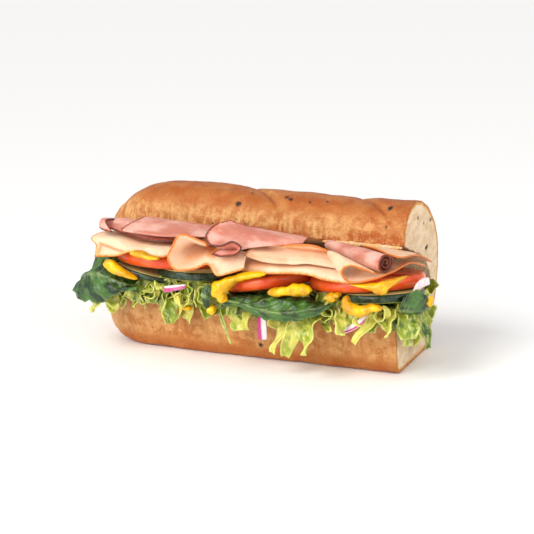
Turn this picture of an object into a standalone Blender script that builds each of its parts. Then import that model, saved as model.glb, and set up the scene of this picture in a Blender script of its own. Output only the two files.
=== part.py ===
"""A hinge-cut submarine sandwich, half of a long roll, filled with lettuce, spinach, onion,
cucumber, tomato, mustard, turkey and ham.

Sizes below are in millimetres and become metres where a mesh is made. The roll lies along X with its
cut end at +X. The open side faces -Y, the hinge is at +Y, and the flat underside is at Z = 0.
"""

import math
import random

import bmesh
import bpy
from mathutils import Vector

MM = 0.001

# The roll
ROLL_HALF = 76.0
LEFT_ROUND = 36.0
MIDDLE = 37.0
AXIS_Y = 2.0
SCORES = (2.4, 54.8)
SCORE_SLANT = 0.8
SCORE_DEPTH = 2.4
# Width of a cut's groove, and how far the crust slopes down to it on its left and right
SCORE_GROOVE = 1.6
SCORE_SLOPES = (13, 6)
# The crown is highest here: how much, where, and over which length
SWELL, SWELL_AT, SWELL_LONG = 0.042, -20, 23
ROLL_STATIONS = 31
ROLL_AROUND = 36
# The section seen at the cut end, from the flat base up the back, over the crown and down the front
ROLL_OUTLINE = (
    (-5, 0), (14, 0), (20.3, 3.2), (25, 9.5), (29.5, 19), (32.8, 29), (34, 38), (33, 47), (29.5, 54.5),
    (24, 60.4), (16.5, 66.4), (6, 71.1), (-4, 73), (-13, 70.8), (-18.5, 65), (-20.5, 58), (-23, 48),
    (-27.5, 36), (-30.5, 24), (-29.6, 13), (-27.5, 4), (-23, 0),
)
# The wedge between heel and crown, from the open front to the hinge and back
SLIT = (
    (-46, 23.3), (-30, 23.2), (-10, 21.8), (8, 22), (18, 24.5), (23.5, 29.5), (20.5, 35.5), (15, 41.3),
    (8, 45.8), (-4, 50.2), (-17.5, 55.6), (-24, 58), (-46, 66),
)

# The filling
STACK_LEAN = -0.11
STACK_FRONT = -42.0
MEAT_THICK = 1.2
LEAF_THICK = 0.7
# Round slices: centre (x, y), radius, height of the underside at the front, lean along x, thickness
TOMATOES = {
    "tomato_left": ((-37, -17), 25, 42.1, -0.03, 5.6),
    "tomato_middle": ((12.5, -21), 19, 36.1, 0.19, 5.6),
    "tomato_right": ((58.5, -17.5), 25.5, 39.2, 0.1, 5.6),
}
CUCUMBERS = {
    "cucumber_left": ((-41.5, -22), 19, 36.3, -0.2, 2.3),
    "cucumber_middle": ((-20, -23.5), 18.4, 38.8, 0.02, 2.3),
    "cucumber_right": ((67, -24), 19.5, 36.2, 0.1, 3.2),
}
# A slice's rim: share of the radius and of the thickness
SLICE_RIM = ((0.93, 0.0), (1.0, 0.22), (1.0, 0.78), (0.93, 1.0))
SLICE_UNEVEN = 0.015
# The ham roll: where its axis starts and ends, its radius at the start and how much it widens
HAM_ROLL_START = (43, -24.4, 58.6)
HAM_ROLL_END = (75, -43.4, 55)
HAM_ROLL_RADIUS = 1.7
HAM_ROLL_WIDENS = 1.9
HAM_ROLL_THICK = 1.0
ONION_THICK = 1.0
# Height under the slices of vegetables along the front: (x, z)
STACK_FLOOR = ((-80, 38), (-60, 36), (-36, 31.6), (-13, 29.8), (5, 32), (24, 34.6), (46, 33.2),
               (66, 35), (92, 38))
# The packed lettuce: its ends along x, its front, and the height of its underside at each depth: (y, z)
HEAP_ENDS = (-66, 77)
HEAP_UNDERSIDE = ((-36.5, 24.6), (-30, 24.2), (-10, 22.8), (8, 23), (16, 24.8))
# Where each shred of lettuce starts at the front of the heap, which way it hangs and how long it is:
# (x, height of its top, length, lean along x, width)
SHREDS = (
    (-63.5, 27, 9, -4, 5), (-55, 26, 9, 2, 5), (-40, 27, 10, -2, 4.5),
    (-34, 29, 12, 2, 4.5), (-28.5, 28.5, 13, -1, 4.5), (-22.5, 28, 12, 1.5, 4),
    (-8, 27, 17, 7, 2.4), (-1, 25, 10, 1, 4.5), (6, 25, 10, 1, 6),
    (20.5, 25, 9, 1, 4), (26, 25, 19, -5, 4.2), (32, 25, 20, -1, 4.6), (37.6, 26, 17, 2, 4.2),
    (45, 30, 12, 1, 4.5), (51, 30, 13, -1, 4.5), (61, 28, 14, -4, 4.5),
    (67, 30, 12, -2, 4.6), (73, 31, 12, -1, 4.6),
)
# Shreds that hang over the cut face: (y, height of the top, length, lean along y, width)
END_SHREDS = (
    (-26, 26, 8, 2, 4.5), (-19, 28, 12, -1, 5), (-12, 28, 13, 1, 5), (-5, 29, 14, 1, 5),
    (9, 27, -10, 3, 5),
    (2, 26, 9, 1, 5),
)


def spline(points, count, closed=False):
    """Points at even steps of the parameter along a smooth curve through the given points."""
    points = [Vector(p) for p in points]
    last = len(points)
    spans = last if closed else last - 1
    steps = count if closed else count - 1
    curve = []
    for i in range(count):
        place = spans * i / steps
        k = min(int(place), spans - 1)
        t = place - k
        if closed:
            a, b, c, d = (points[(k + j) % last] for j in (-1, 0, 1, 2))
        else:
            b, c = points[k], points[k + 1]
            a = points[k - 1] if k else b * 2 - c
            d = points[k + 2] if k + 2 < last else c * 2 - b
        curve.append(
            b + (c - a) * (t / 2) + (a * 2 - b * 5 + c * 4 - d) * (t * t / 2)
            + (b * 3 - c * 3 + d - a) * (t * t * t / 2)
        )
    return curve


def level(points, x):
    """The height at x on the straight runs through (x, z) points."""
    for (x0, z0), (x1, z1) in zip(points, points[1:]):
        if x <= x1 or (x1, z1) == points[-1]:
            t = min(max((x - x0) / (x1 - x0), 0.0), 1.0)
            return z0 + (z1 - z0) * t
    return points[-1][1]


def stack_floor(x, y):
    """The underside of the vegetable slices."""
    near = sum(level(STACK_FLOOR, x + step) for step in (-5, 0, 5)) / 3
    return near + STACK_LEAN * (y - STACK_FRONT)


def material(name, colour, roughness):
    """A plain finish for one part."""
    finish = bpy.data.materials.new(name)
    finish.use_nodes = True
    shader = finish.node_tree.nodes["Principled BSDF"]
    shader.inputs["Base Color"].default_value = (*colour, 1.0)
    shader.inputs["Roughness"].default_value = roughness
    shader.inputs["Metallic"].default_value = 0.0
    return finish


def new_object(name, points, faces, finish):
    """An object with triangle or polygon faces that all point out."""
    mesh = bpy.data.meshes.new(name)
    mesh.from_pydata([tuple(p * MM for p in point) for point in points], [], faces)
    shape = bmesh.new()
    shape.from_mesh(mesh)
    bmesh.ops.recalc_face_normals(shape, faces=shape.faces)
    if shape.calc_volume(signed=True) < 0:
        bmesh.ops.reverse_faces(shape, faces=shape.faces)
    shape.to_mesh(mesh)
    shape.free()
    mesh.materials.append(finish)
    mesh.shade_smooth()
    part = bpy.data.objects.new(name, mesh)
    bpy.context.scene.collection.objects.link(part)
    return part


def skin(rings):
    """Points and faces of a closed body through rings of equal length, fans closing both ends."""
    size = len(rings[0])
    points = [p for ring in rings for p in ring]
    faces = []
    for k in range(len(rings) - 1):
        for j in range(size):
            a, b = k * size + j, k * size + (j + 1) % size
            faces += [(a, b, b + size), (a, b + size, a + size)]
    for first, ring in ((0, rings[0]), ((len(rings) - 1) * size, rings[-1])):
        middle = sum((Vector(p) for p in ring), Vector()) / size
        points.append(middle)
        faces += [(first + j, first + (j + 1) % size, len(points) - 1) for j in range(size)]
    return points, faces


def grid_of(rows, along, across):
    """A fine grid of points from a few rows of control points."""
    fine = [spline(row, across) for row in rows]
    columns = [spline([row[j] for row in fine], along) for j in range(across)]
    return [[columns[j][i] for j in range(across)] for i in range(along)]


def sheet_faces(grid, thick):
    """Points and faces of a thin solid whose two faces follow a grid and are split alike."""
    rows, columns = len(grid), len(grid[0])
    front, back = [], []
    for i in range(rows):
        for j in range(columns):
            up = grid[min(i + 1, rows - 1)][j] - grid[max(i - 1, 0)][j]
            side = grid[i][min(j + 1, columns - 1)] - grid[i][max(j - 1, 0)]
            out = up.cross(side).normalized() * (thick / 2)
            front.append(grid[i][j] + out)
            back.append(grid[i][j] - out)
    shift = rows * columns
    faces = []
    for i in range(rows - 1):
        for j in range(columns - 1):
            a, b = i * columns + j, i * columns + j + 1
            c, d = a + columns, b + columns
            faces += [(a, b, d), (a, d, c)]
            faces += [(a + shift, d + shift, b + shift), (a + shift, c + shift, d + shift)]
    edge = [j for j in range(columns)] + [i * columns + columns - 1 for i in range(1, rows)]
    edge += [(rows - 1) * columns + j for j in range(columns - 2, -1, -1)]
    edge += [i * columns for i in range(rows - 2, 0, -1)]
    for a, b in zip(edge, edge[1:] + edge[:1]):
        faces += [(a, a + shift, b + shift), (a, b + shift, b)]
    return front + back, faces


def sheet(name, rows, along, across, thick, finish):
    """A thin bent slice or leaf from rows of control points."""
    points, faces = sheet_faces(grid_of(rows, along, across), thick)
    return new_object(name, points, faces, finish)


def roll_section(x):
    """The roll's outline at x as points round it, narrower and lower towards the round left end."""
    t = min(max((-(ROLL_HALF - LEFT_ROUND) - x) / LEFT_ROUND, 0.0), 0.985)
    round_end = math.sqrt(1 - t * t)
    blunt_end = (1 - t ** 4) ** 0.5
    ring = []
    for p in spline([(y, z, 0) for y, z in ROLL_OUTLINE], ROLL_AROUND, closed=True):
        y, z = p.x, max(p.y, 0.0)
        swell = 1 + SWELL * math.exp(-((x - SWELL_AT) / SWELL_LONG) ** 2)
        tall = MIDDLE + (z - MIDDLE) * (round_end * swell if z > MIDDLE else blunt_end)
        reach = 0.95 + 0.05 * min((x + ROLL_HALF) / 50, 1)
        wide = AXIS_Y + (y - AXIS_Y) * (round_end * 0.75 + blunt_end * 0.25) * reach
        ring.append(Vector((x, wide, tall - score_cut(x, y, z))))
    return ring


def score_cut(x, y, z):
    """How deep the slanting bakers' cuts lie below the top crust."""
    if z < MIDDLE:
        return 0.0
    depth = 0.0
    for start in SCORES:
        away = x - (start + SCORE_SLANT * (-4 - y))
        fade = math.exp(-((y + 3) / 15) ** 4)
        far = SCORE_SLOPES[0] if away < 0 else SCORE_SLOPES[1]
        slope = 0.6 * math.exp(-(away / SCORE_GROOVE) ** 2) + 0.45 * math.exp(-(away / far) ** 2)
        depth += SCORE_DEPTH * fade * slope
    return depth


def roll(finish):
    """Crown and heel in one piece, joined by the hinge at the back."""
    span = ROLL_HALF * 2
    rings = []
    for i in range(ROLL_STATIONS):
        t = i / (ROLL_STATIONS - 1)
        x = -ROLL_HALF + span * (t - 0.09 * math.sin(math.pi * t) * (1 - t))
        rings.append(roll_section(x))
    loaf = new_object("roll", *skin(rings), finish)
    wedge_rings = []
    for i in range(13):
        x = -ROLL_HALF - 4 + (span + 8) * i / 12
        wave = 0.5 * math.sin(x / 11.0) + 0.4 * math.sin(x / 5.3 + 1)
        wedge_rings.append([
            Vector((x, y, z + wave * (0.3 if z < 30 else 0.6))) for y, z in SLIT
        ])
    cutter = new_object("roll_slit", *skin(wedge_rings), finish)
    cut = loaf.modifiers.new("slit", "BOOLEAN")
    cut.operation = "DIFFERENCE"
    cut.object = cutter
    cut.solver = "EXACT"
    cutter.hide_render = True
    cutter.display_type = "WIRE"
    return loaf


def slice_of(name, centre, radius, base, lean, thick, finish, sides=24):
    """A round slice with a rounded rim, leaning along x and down towards the hinge."""
    rings = []
    for reach, up in SLICE_RIM:
        ring = []
        for j in range(sides):
            turn = math.tau * j / sides
            far = radius * reach * (1 + SLICE_UNEVEN * math.sin(3 * turn + centre[0]))
            x, y = centre[0] + far * math.cos(turn), centre[1] + far * math.sin(turn)
            z = base + lean * (x - centre[0]) + STACK_LEAN * (y - STACK_FRONT) + thick * up
            ring.append(Vector((x, y, z)))
        rings.append(ring)
    return new_object(name, *skin(rings), finish)


def blob(name, spine, finish, rings_count=9, sides=8):
    """A run of thick sauce: spine points are (x, y, z, half height, half depth)."""
    centres = spline([p[:3] for p in spine], rings_count)
    sizes = spline([(p[3], p[4], 0) for p in spine], rings_count)
    rings = []
    for k, centre in enumerate(centres):
        ahead = centres[min(k + 1, rings_count - 1)] - centres[max(k - 1, 0)]
        ahead.normalize()
        depth = Vector((0, 1, 0))
        depth -= ahead * depth.dot(ahead)
        depth.normalize()
        height = ahead.cross(depth)
        taper = 0.35 if k in (0, rings_count - 1) else 1.0
        rings.append([
            centre + height * (sizes[k].x * taper * math.cos(math.tau * j / sides))
            + depth * (sizes[k].y * taper * math.sin(math.tau * j / sides))
            for j in range(sides)
        ])
    return new_object(name, *skin(rings), finish)


def tomatoes(finish):
    """Three round slices, the middle one tipped up to the right."""
    for name, sizes in TOMATOES.items():
        slice_of(name, *sizes, finish)


def cucumbers(finish):
    """Three round slices that lie below the tomatoes."""
    for name, sizes in CUCUMBERS.items():
        slice_of(name, *sizes, finish)


def turkey(finish):
    """Six thin slices, drooped, folded and rolled."""
    sheet("turkey_left", (
        ((-62, -43.5, 45), (-50, -44.5, 46.6), (-44, -44.5, 48.8), (-34, -45, 48), (-28, -44.5, 48),
         (-23.5, -43, 49.6)),
        ((-62.5, -41, 49.6), (-51, -43.6, 50.2), (-44, -43, 51.2), (-34, -43, 51.2), (-28, -42, 51.4),
         (-23.5, -40.6, 51.6)),
        ((-65.5, -39.5, 52.6), (-54, -40.5, 54), (-44, -40, 52.8), (-34, -40, 52.2),
         (-28, -39.5, 52.2), (-23, -38, 52)),
        ((-60.5, -33, 54.6), (-52, -33, 53.6), (-43, -33, 52.8), (-34, -33, 52.2), (-28, -33, 51.8),
         (-21, -32, 51.2)),
        ((-58, -18, 50.6), (-50, -18, 50.4), (-42, -18, 50.2), (-34, -18, 50), (-27, -18, 49.8),
         (-18, -18, 49.6)),
        ((-55, 3, 45.4), (-48, 4, 45), (-41, 4, 44.8), (-34, 4, 44.8), (-26, 4, 44.8), (-18, 3, 44.8)),
    ), 10, 11, MEAT_THICK, finish)
    sheet("turkey_fold", (
        ((-7, -44, 56.2), (-18.5, -45, 59.2), (-22.2, -47.5, 53.5), (-23.4, -49, 48.5),
         (-19.5, -49.5, 44),
         (-11.5, -48.5, 44.8), (-5, -47.5, 47.4), (-0.5, -48.5, 43.2), (5, -47.5, 44.2),
         (11, -45.5, 46.2)),
        ((-7.5, -41, 54), (-15, -40.4, 55), (-18.6, -40, 52.2), (-19, -40, 49.6), (-16.6, -41, 47.8),
         (-12, -42.4, 48.2), (-6, -44, 50.4), (-0.5, -45.5, 49.6), (5, -45, 50), (11, -43.5, 50.2)),
        ((-7, -32, 55), (-11, -31, 55.2), (-13.4, -30, 54.6), (-13.6, -30, 52.8), (-11.6, -31, 51.6),
         (-9, -33, 51.4), (-5, -36, 52), (0, -38, 52.3), (5, -38, 52.2), (10, -38, 52)),
    ), 7, 20, MEAT_THICK, finish)
    sheet("turkey_upper", (
        ((14, -33, 53.2), (22, -33, 52.6), (32, -33, 52), (42, -33, 52), (47, -33, 51.4)),
        ((12.5, -41, 51.4), (20, -43, 50), (32, -44, 50.3), (41, -43.4, 51.2), (48, -41, 50.6)),
        ((14, -41, 54), (22, -42, 52.8), (32, -42.4, 52.4), (41, -41.6, 53), (47.4, -39, 52.6)),
        ((17, -36, 54.8), (24, -36, 54.2), (32, -36, 54), (41, -36, 54.4), (45.6, -34, 54.2)),
        ((20.5, -37.6, 56.2), (26, -38.8, 56.8), (33, -39.4, 57.1), (41, -39, 57.4), (45.4, -38, 56.2)),
    ), 11, 10, MEAT_THICK, finish)
    sheet("turkey_lower", (
        ((12, -41.5, 44.2), (22, -43.5, 44.8), (32, -44.5, 46), (41, -45, 46.3), (47, -45, 45),
         (55, -44.5, 44.6)),
        ((11, -39.5, 47), (21, -42, 47.6), (32, -43, 48.4), (41, -43.4, 49), (46, -43.4, 48.4),
         (50, -42, 48)),
        ((12, -33, 49), (21, -33, 49.6), (32, -33, 50), (41, -33, 50), (46, -33, 49.6), (50, -33, 49.4)),
        ((12, -16, 47), (21, -16, 47.4), (32, -16, 48), (41, -16, 48), (47, -16, 48), (55, -16, 48)),
        ((12, 4, 42.4), (21, 5, 42.6), (32, 5, 43), (41, 5, 43.4), (47, 5, 43.6), (55, 4, 43.8)),
    ), 9, 10, MEAT_THICK, finish)
    sheet("turkey_cone", (
        ((72, -45, 49.4), (66, -47.5, 52), (60.5, -48, 52.8), (57.2, -48, 49.8), (60, -48, 46),
         (66, -48, 46.3),
         (72, -46.5, 48), (78, -41, 50.4), (81.5, -29, 51.8), (84, -14, 46.6)),
        ((70.5, -45.6, 50.4), (62, -46, 53.6), (54.8, -44.8, 54.8), (53, -43.5, 50.4), (57, -43, 47),
         (64, -42, 47),
         (70, -40, 48), (76, -34, 49.6), (79, -22, 50), (82, -9, 46)),
        ((67, -44.4, 51.4), (56.6, -43, 55), (48.6, -40.6, 56.6), (49.4, -39, 52.4), (54, -36, 49.4),
         (62, -34, 49),
         (68, -30, 49.2), (72, -24, 49), (75, -12, 48), (77, -2, 45.4)),
    ), 6, 22, MEAT_THICK, finish)
    sheet("turkey_back", (
        ((61, -29.4, 57.4), (67, -33, 57.6), (73, -36, 56.6), (79, -37, 55.6), (82, -26, 54.4)),
        ((60, -24, 56), (67, -24, 55.8), (73, -24, 55.4), (78, -24, 54.8), (82, -20, 53)),
        ((56, -14, 52.4), (66, -14, 52.6), (73, -14, 52.4), (78, -14, 52.2), (82, -13, 51.2)),
        ((56, 6, 44.6), (66, 7, 44.4), (73, 8, 44.2), (78, 8, 44), (81, 6, 44)),
    ), 8, 7, MEAT_THICK, finish)


def ham(finish):
    """Four thin slices: a looped one, the flap over it, an S-shaped curl and a roll."""
    sheet("ham_loop", (
        ((-53, -43.5, 57), (-58.5, -42, 57.4), (-61.3, -39, 57.6), (-58, -37, 57), (-51, -39.5, 56.4),
         (-40, -43, 55.2), (-30, -43, 54.8), (-19, -40, 55.4)),
        ((-55.5, -41.5, 58.8), (-59.8, -40, 59.2), (-62, -37.4, 59.2), (-59, -35.4, 58.8),
         (-51, -35.6, 58.6),
         (-40, -36, 57.2), (-30, -36, 56.4), (-19, -36, 56.4)),
        ((-58, -38.6, 61), (-60.6, -37, 61.2), (-61.4, -35, 60.8), (-58.8, -33.4, 60.6), (-51, -32, 60.8),
         (-40, -31, 58.8), (-30, -31, 57.6), (-19, -31, 57)),
        ((-55, -30, 59.6), (-57.5, -29, 59.4), (-58, -27, 58), (-55, -25.5, 57), (-50, -24, 56.6),
         (-40, -24, 55.6), (-30, -24, 55), (-20, -24, 54.8)),
        ((-52, -14, 52.6), (-54, -13.6, 52.4), (-55, -13, 51.6), (-53, -12.4, 51.2), (-49, -12, 51),
         (-40, -12, 51), (-30, -12, 51), (-22, -12, 51)),
    ), 10, 16, MEAT_THICK, finish)
    sheet("ham_flap", (
        ((-47.4, -39.2, 58.6), (-39.5, -40.2, 58.2), (-30, -40.2, 57.6), (-21, -39.4, 57.7),
         (-9, -37.8, 58.4)),
        ((-49.5, -41.6, 58), (-40, -43.6, 57.8), (-30, -43.6, 57.4), (-21, -42.6, 57.6),
         (-8.5, -41, 58.4)),
        ((-46.5, -38.4, 60.4), (-39, -39.6, 60.4), (-30, -39.4, 59.8), (-21, -38.6, 59.6),
         (-9, -37.4, 60)),
        ((-42, -33.6, 62.6), (-36, -33.4, 62.4), (-29, -33, 62), (-20, -32.4, 61.4), (-9, -31.8, 61)),
        ((-42, -26.5, 61), (-36, -26.5, 60.4), (-29, -26.5, 59.8), (-20, -26.5, 59), (-9, -26.5, 58.6)),
    ), 7, 10, MEAT_THICK, finish)
    sheet("ham_curl", (
        ((2, -38, 65.6), (-3, -43.4, 64.4), (-5.8, -47, 60.4), (-3, -49.8, 57.2), (2.5, -50.4, 57.2),
         (8, -50.4, 59.4),
         (12, -50.6, 57), (9, -50.8, 53.6), (3, -51, 52.4), (-1.5, -50.6, 53)),
        ((12, -34.6, 62.6), (10, -39, 62), (8.5, -43, 60.2), (9.5, -45.6, 58.4), (12.4, -45.6, 58),
         (14.6, -44.8, 58.4),
         (17, -44.6, 57.4), (15.8, -45, 55.4), (12.6, -45.6, 54), (9.6, -46, 54)),
        ((31, -31.6, 60.4), (30.6, -34, 60.6), (30.4, -36.4, 60.8), (30.8, -38, 60.2), (31, -37.2, 59),
         (30.6, -34.4, 59), (28, -33, 58.8), (24, -33, 58.4), (19, -34, 57.8), (15, -35, 57.2)),
    ), 9, 22, MEAT_THICK, finish)
    roll_of_ham(finish)


def roll_of_ham(finish):
    """A slice rolled into a slim cone that widens towards the cut end."""
    start, end = Vector(HAM_ROLL_START), Vector(HAM_ROLL_END)
    ahead = (end - start).normalized()
    side = ahead.cross(Vector((0, 0, 1))).normalized()
    up = side.cross(ahead)
    rows = []
    for k in range(6):
        t = k / 5
        middle = start.lerp(end, t)
        radius = HAM_ROLL_RADIUS + HAM_ROLL_WIDENS * math.sin(min(t * 1.25, 1) * math.pi / 2)
        row = []
        for j in range(18):
            turn = math.radians(-60 + 430 * j / 17)
            far = radius - 0.95 + 1.75 * j / 17
            row.append(middle + side * (far * math.sin(turn)) + up * (far * math.cos(turn)))
        rows.append(row)
    points, faces = sheet_faces(rows, HAM_ROLL_THICK)
    return new_object("ham_roll", points, faces, finish)


def mustard(finish):
    """Six thick runs that sag from between the slices."""
    runs = {
        "mustard_left": ((-57, -44, 42.6, 1.4, 1.2), (-54, -45, 41.8, 2.7, 1.8),
                         (-50.5, -45.6, 40.2, 2.3, 1.8),
                         (-46, -46, 38.4, 1.6, 1.5), (-40.5, -45.6, 36.8, 0.8, 0.9)),
        "mustard_upper_left": ((-42, -46.8, 48.8, 0.7, 0.8), (-38, -47, 48.4, 1.5, 1.1),
                               (-33, -47, 47.4, 1.1, 0.9), (-28, -46.6, 46.6, 0.5, 0.7)),
        "mustard_middle": ((20, -44.4, 44, 1.2, 1.1), (13, -45, 43.2, 1.7, 1.4), (6, -45.6, 41, 2.2, 1.6),
                           (0, -46.4, 37.4, 3.2, 1.9), (-0.8, -46.8, 33.6, 3.4, 1.7),
                           (1.8, -46.8, 30.6, 1.8, 1.3)),
        "mustard_right_of_middle": ((22, -45.4, 36.4, 1.2, 1.1), (27, -46, 36.8, 2.2, 1.7),
                                    (33, -46, 38, 2.4, 1.9),
                                    (38.5, -46, 38.8, 2.6, 1.8), (42.2, -45, 39.2, 1.6, 1.2)),
        "mustard_right": ((59, -47.4, 39.4, 1.2, 1.0), (58.8, -48, 36.4, 2.0, 1.4),
                          (61, -48.6, 34, 2.7, 1.8),
                          (65.8, -48.8, 33.5, 2.6, 1.8), (70, -48.4, 35, 1.9, 1.5),
                          (75, -47.4, 35.2, 1.1, 1.1)),
        "mustard_drop": ((60, -47, 44.5, 0.5, 0.7), (65.4, -47.8, 44.4, 0.8, 0.9),
                         (70, -48.2, 44.4, 1.8, 1.3),
                         (74, -48.2, 44.1, 3.2, 1.6), (77, -47.8, 45.8, 2.2, 1.4),
                         (80.4, -45.6, 47.6, 1.2, 1.1),
                         (84, -42.6, 49.2, 0.4, 0.6)),
    }
    for name, spine in runs.items():
        blob(name, spine, finish, 3 * len(spine) - 5)


def spinach(finish):
    """Three large leaves that hang over the front, and a small upright one."""
    def under(x, y, drop=1.2):
        return stack_floor(x, y) - drop

    sheet("spinach_left", (
        ((-75, -39, 22.6), (-66, -42.5, 22.4), (-58, -44.5, 24.6), (-48, -46, 29), (-39, -46.4, 32)),
        ((-79, -35, 26), (-69, -42.6, 28), (-60, -45.6, 30), (-50, -46.4, 32), (-40.5, -45, 33)),
        ((-75, -33, 32), (-68, -39.5, 34), (-60, -43, 35.6), (-51, -43, 34.6), (-42, -41, 32.6)),
        ((-69, -32, 37.5), (-65.5, -36.5, 40.5), (-60.4, -38.5, 40.5), (-54.6, -37, 36.3),
         (-44, -34, 33)),
        ((-67, -29, 42.4), (-64.8, -32, 44.4), (-62.6, -31.4, 43.4), (-59.4, -30.4, 38), (-48, -28, 33)),
    ), 10, 10, LEAF_THICK, finish)
    sheet("spinach_middle", (
        ((-4, -43, 26), (7, -45.6, 28.6), (18, -48, 26), (30, -49, 25), (42, -48, 28), (52, -46, 33)),
        ((-1, -43, 29), (8, -47, 31.4), (18, -49, 30), (30, -49.4, 29.6), (41, -48, 32), (53, -44, 35)),
        ((1, -40, under(1, -40, 2)), (10, -43.4, under(10, -43, 1.6)), (20, -44, under(20, -44, 1.4)),
         (30, -44, under(30, -44, 1.2)), (40, -43.4, under(40, -43, 1.2)),
         (51, -40, under(51, -40, 1.2))),
        ((3, -26, under(3, -26)), (12, -26, under(12, -26)), (20, -26, under(20, -26)),
         (30, -26, under(30, -26)), (40, -26, under(40, -26)), (48, -26, under(48, -26))),
    ), 9, 12, LEAF_THICK, finish)
    sheet("spinach_right", (
        ((78, -30, 30), (82, -29, 29.5), (85.5, -26, 29.5), (88, -21, 30)),
        ((80.4, -38.6, 31.6), (84, -38.6, 31), (88, -34, 31), (90.4, -27, 31.4)),
        ((80.2, -41, 35), (84.4, -41.6, 35), (89.2, -37, 35.2), (92.2, -29.4, 35.2)),
        ((82, -40.6, 38.2), (85.6, -40.2, 39.4), (89.4, -35.6, 39.8), (91.2, -28.6, 38.4)),
    ), 7, 7, LEAF_THICK, finish)
    sheet("spinach_small", (
        ((-8.6, -43.4, 26.6), (-7.2, -43.8, 26.2), (-5.8, -43.4, 26.8)),
        ((-9.6, -44.4, 31.5), (-7.2, -45, 31.5), (-5, -44.4, 31.8)),
        ((-9.4, -42.8, 36.6), (-7, -43.2, 37.2), (-4.8, -42.8, 36.4)),
    ), 6, 4, LEAF_THICK, finish)


def onion(finish):
    """Five thin pieces of red onion that show."""
    sheet("onion_left", (
        ((-29, -41.4, 31.2), (-24, -41.6, 32.4), (-19.2, -41, 33.8)),
        ((-29, -40.4, 33.4), (-24, -40.6, 34.4), (-19.2, -40, 35)),
    ), 3, 6, ONION_THICK, finish)
    sheet("onion_strip", (
        ((15.6, -38.8, 13.6), (17.5, -39.1, 13.6), (19.4, -38.8, 13.8)),
        ((15.7, -39.6, 18.4), (17.6, -39.9, 18.4), (19.5, -39.6, 18.4)),
        ((15.8, -40.6, 24), (17.7, -40.9, 24), (19.6, -40.6, 24)),
    ), 6, 3, 0.9, finish)
    sheet("onion_curve", (
        ((54.5, -40.6, 19), (59, -41.4, 20.6), (63.6, -41.4, 23.6), (67, -40, 27)),
        ((54, -39.8, 20.4), (58, -40.6, 22.4), (62.2, -40.6, 25.4), (65.6, -39.4, 28.4)),
    ), 3, 8, 0.9, finish)
    sheet("onion_end", (
        ((85.4, -37.4, 38.8), (86.2, -32, 41), (87, -26, 41.2), (87.4, -20, 40.6)),
        ((85.2, -37, 40.6), (85.6, -32.6, 43.4), (86.6, -27, 44.6), (87.2, -20.6, 43.6)),
    ), 3, 8, ONION_THICK, finish)
    sheet("onion_drop", (
        ((77.4, 6.4, 19.4), (77.9, 8, 18.6), (77.6, 9.8, 18.4)),
        ((77.8, 6.4, 22.6), (78.2, 8, 22.4), (78, 9.8, 22)),
    ), 3, 5, 0.9, finish)


def heap_core():
    """The packed lettuce that fills the wedge under the slices."""
    rings = []
    left, right = HEAP_ENDS
    for i in range(15):
        x = left + (right - left) * i / 14
        pinch = 1.0 if 0 < i < 14 else 0.9
        floor, roof = [], []
        for y, heel in HEAP_UNDERSIDE:
            bump = 0.5 * math.sin(x / 3.7 + y / 5)
            top = stack_floor(x, min(y, 8)) - 3.2 + bump
            floor.append(Vector((x, y * pinch, heel)))
            roof.append(Vector((x, y * pinch, max(top, heel + 0.9))))
        rings.append(floor + roof[::-1])
    return skin(rings)


def shred(top, down, out, length, width, seed):
    """A limp strip that leaves the heap at a point, curves over and hangs."""
    draw = random.Random(seed)
    phase = draw.uniform(0, math.tau)
    side = out.cross(Vector((0, 0, 1)))
    rows = []
    for k in range(5):
        t = k / 4
        drop = length * max(t - 0.12, 0) * 1.1
        bow = 0.9 + 2.0 * math.sin(min(t * 2.1, 1.6)) + 0.8 * math.sin(t * 7 + phase)
        middle = top + out * (bow - (3.5 if k == 0 else 0)) + down * (drop / abs(length))
        middle = middle + side * (0.8 * math.sin(5 * t + phase)) - Vector((0, 0, drop))
        middle += down * (t * 1.0)
        row = []
        for j in range(3):
            s = (j / 2 - 0.5) * width * (1.0 - 0.25 * t) * (0.8 + 0.25 * math.sin(4 * t + phase))
            ripple = 0.6 * math.sin(5.5 * t + 2.6 * j + phase)
            row.append(middle + side * s + out * ripple)
        rows.append(row)
    return sheet_faces(rows, LEAF_THICK)


def lettuce(finish):
    """A heap of shreds as one body: a packed core with the hanging shreds fused on."""
    heap = new_object("lettuce", *heap_core(), finish)
    extra = bpy.data.collections.new("shreds")
    bpy.context.scene.collection.children.link(extra)
    pieces = []
    for number, (x, top, length, lean, width) in enumerate(SHREDS):
        start = Vector((x, -34.2, max(min(top, stack_floor(x, -36) - 4), 25)))
        pieces.append(shred(start, Vector((lean, 0, 0)), Vector((0, -1, 0)), length, width, number))
    for number, (y, top, length, lean, width) in enumerate(END_SHREDS):
        start = Vector((76.4, y, max(min(top, stack_floor(76, y) - 4), 24.6)))
        pieces.append(shred(start, Vector((0, lean, 0)), Vector((1, 0, 0)), length, width, number + 60))
    for number, (points, faces) in enumerate(pieces):
        piece = new_object(f"shred_{number}", points, faces, finish)
        bpy.context.scene.collection.objects.unlink(piece)
        extra.objects.link(piece)
    join = heap.modifiers.new("join", "BOOLEAN")
    join.operation = "UNION"
    join.operand_type = "COLLECTION"
    join.collection = extra
    join.solver = "MANIFOLD"
    apply_modifiers(heap)
    for piece in list(extra.objects):
        bpy.data.objects.remove(piece)
    bpy.data.collections.remove(extra)
    return heap


def apply_modifiers(part):
    """Keeps the shape that the modifiers give and takes the modifiers off."""
    evaluated = part.evaluated_get(bpy.context.evaluated_depsgraph_get())
    mesh = bpy.data.meshes.new_from_object(evaluated)
    part.modifiers.clear()
    part.data = mesh


def clear_scene():
    """Removes what the file held before."""
    for thing in list(bpy.data.objects):
        bpy.data.objects.remove(thing)


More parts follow.
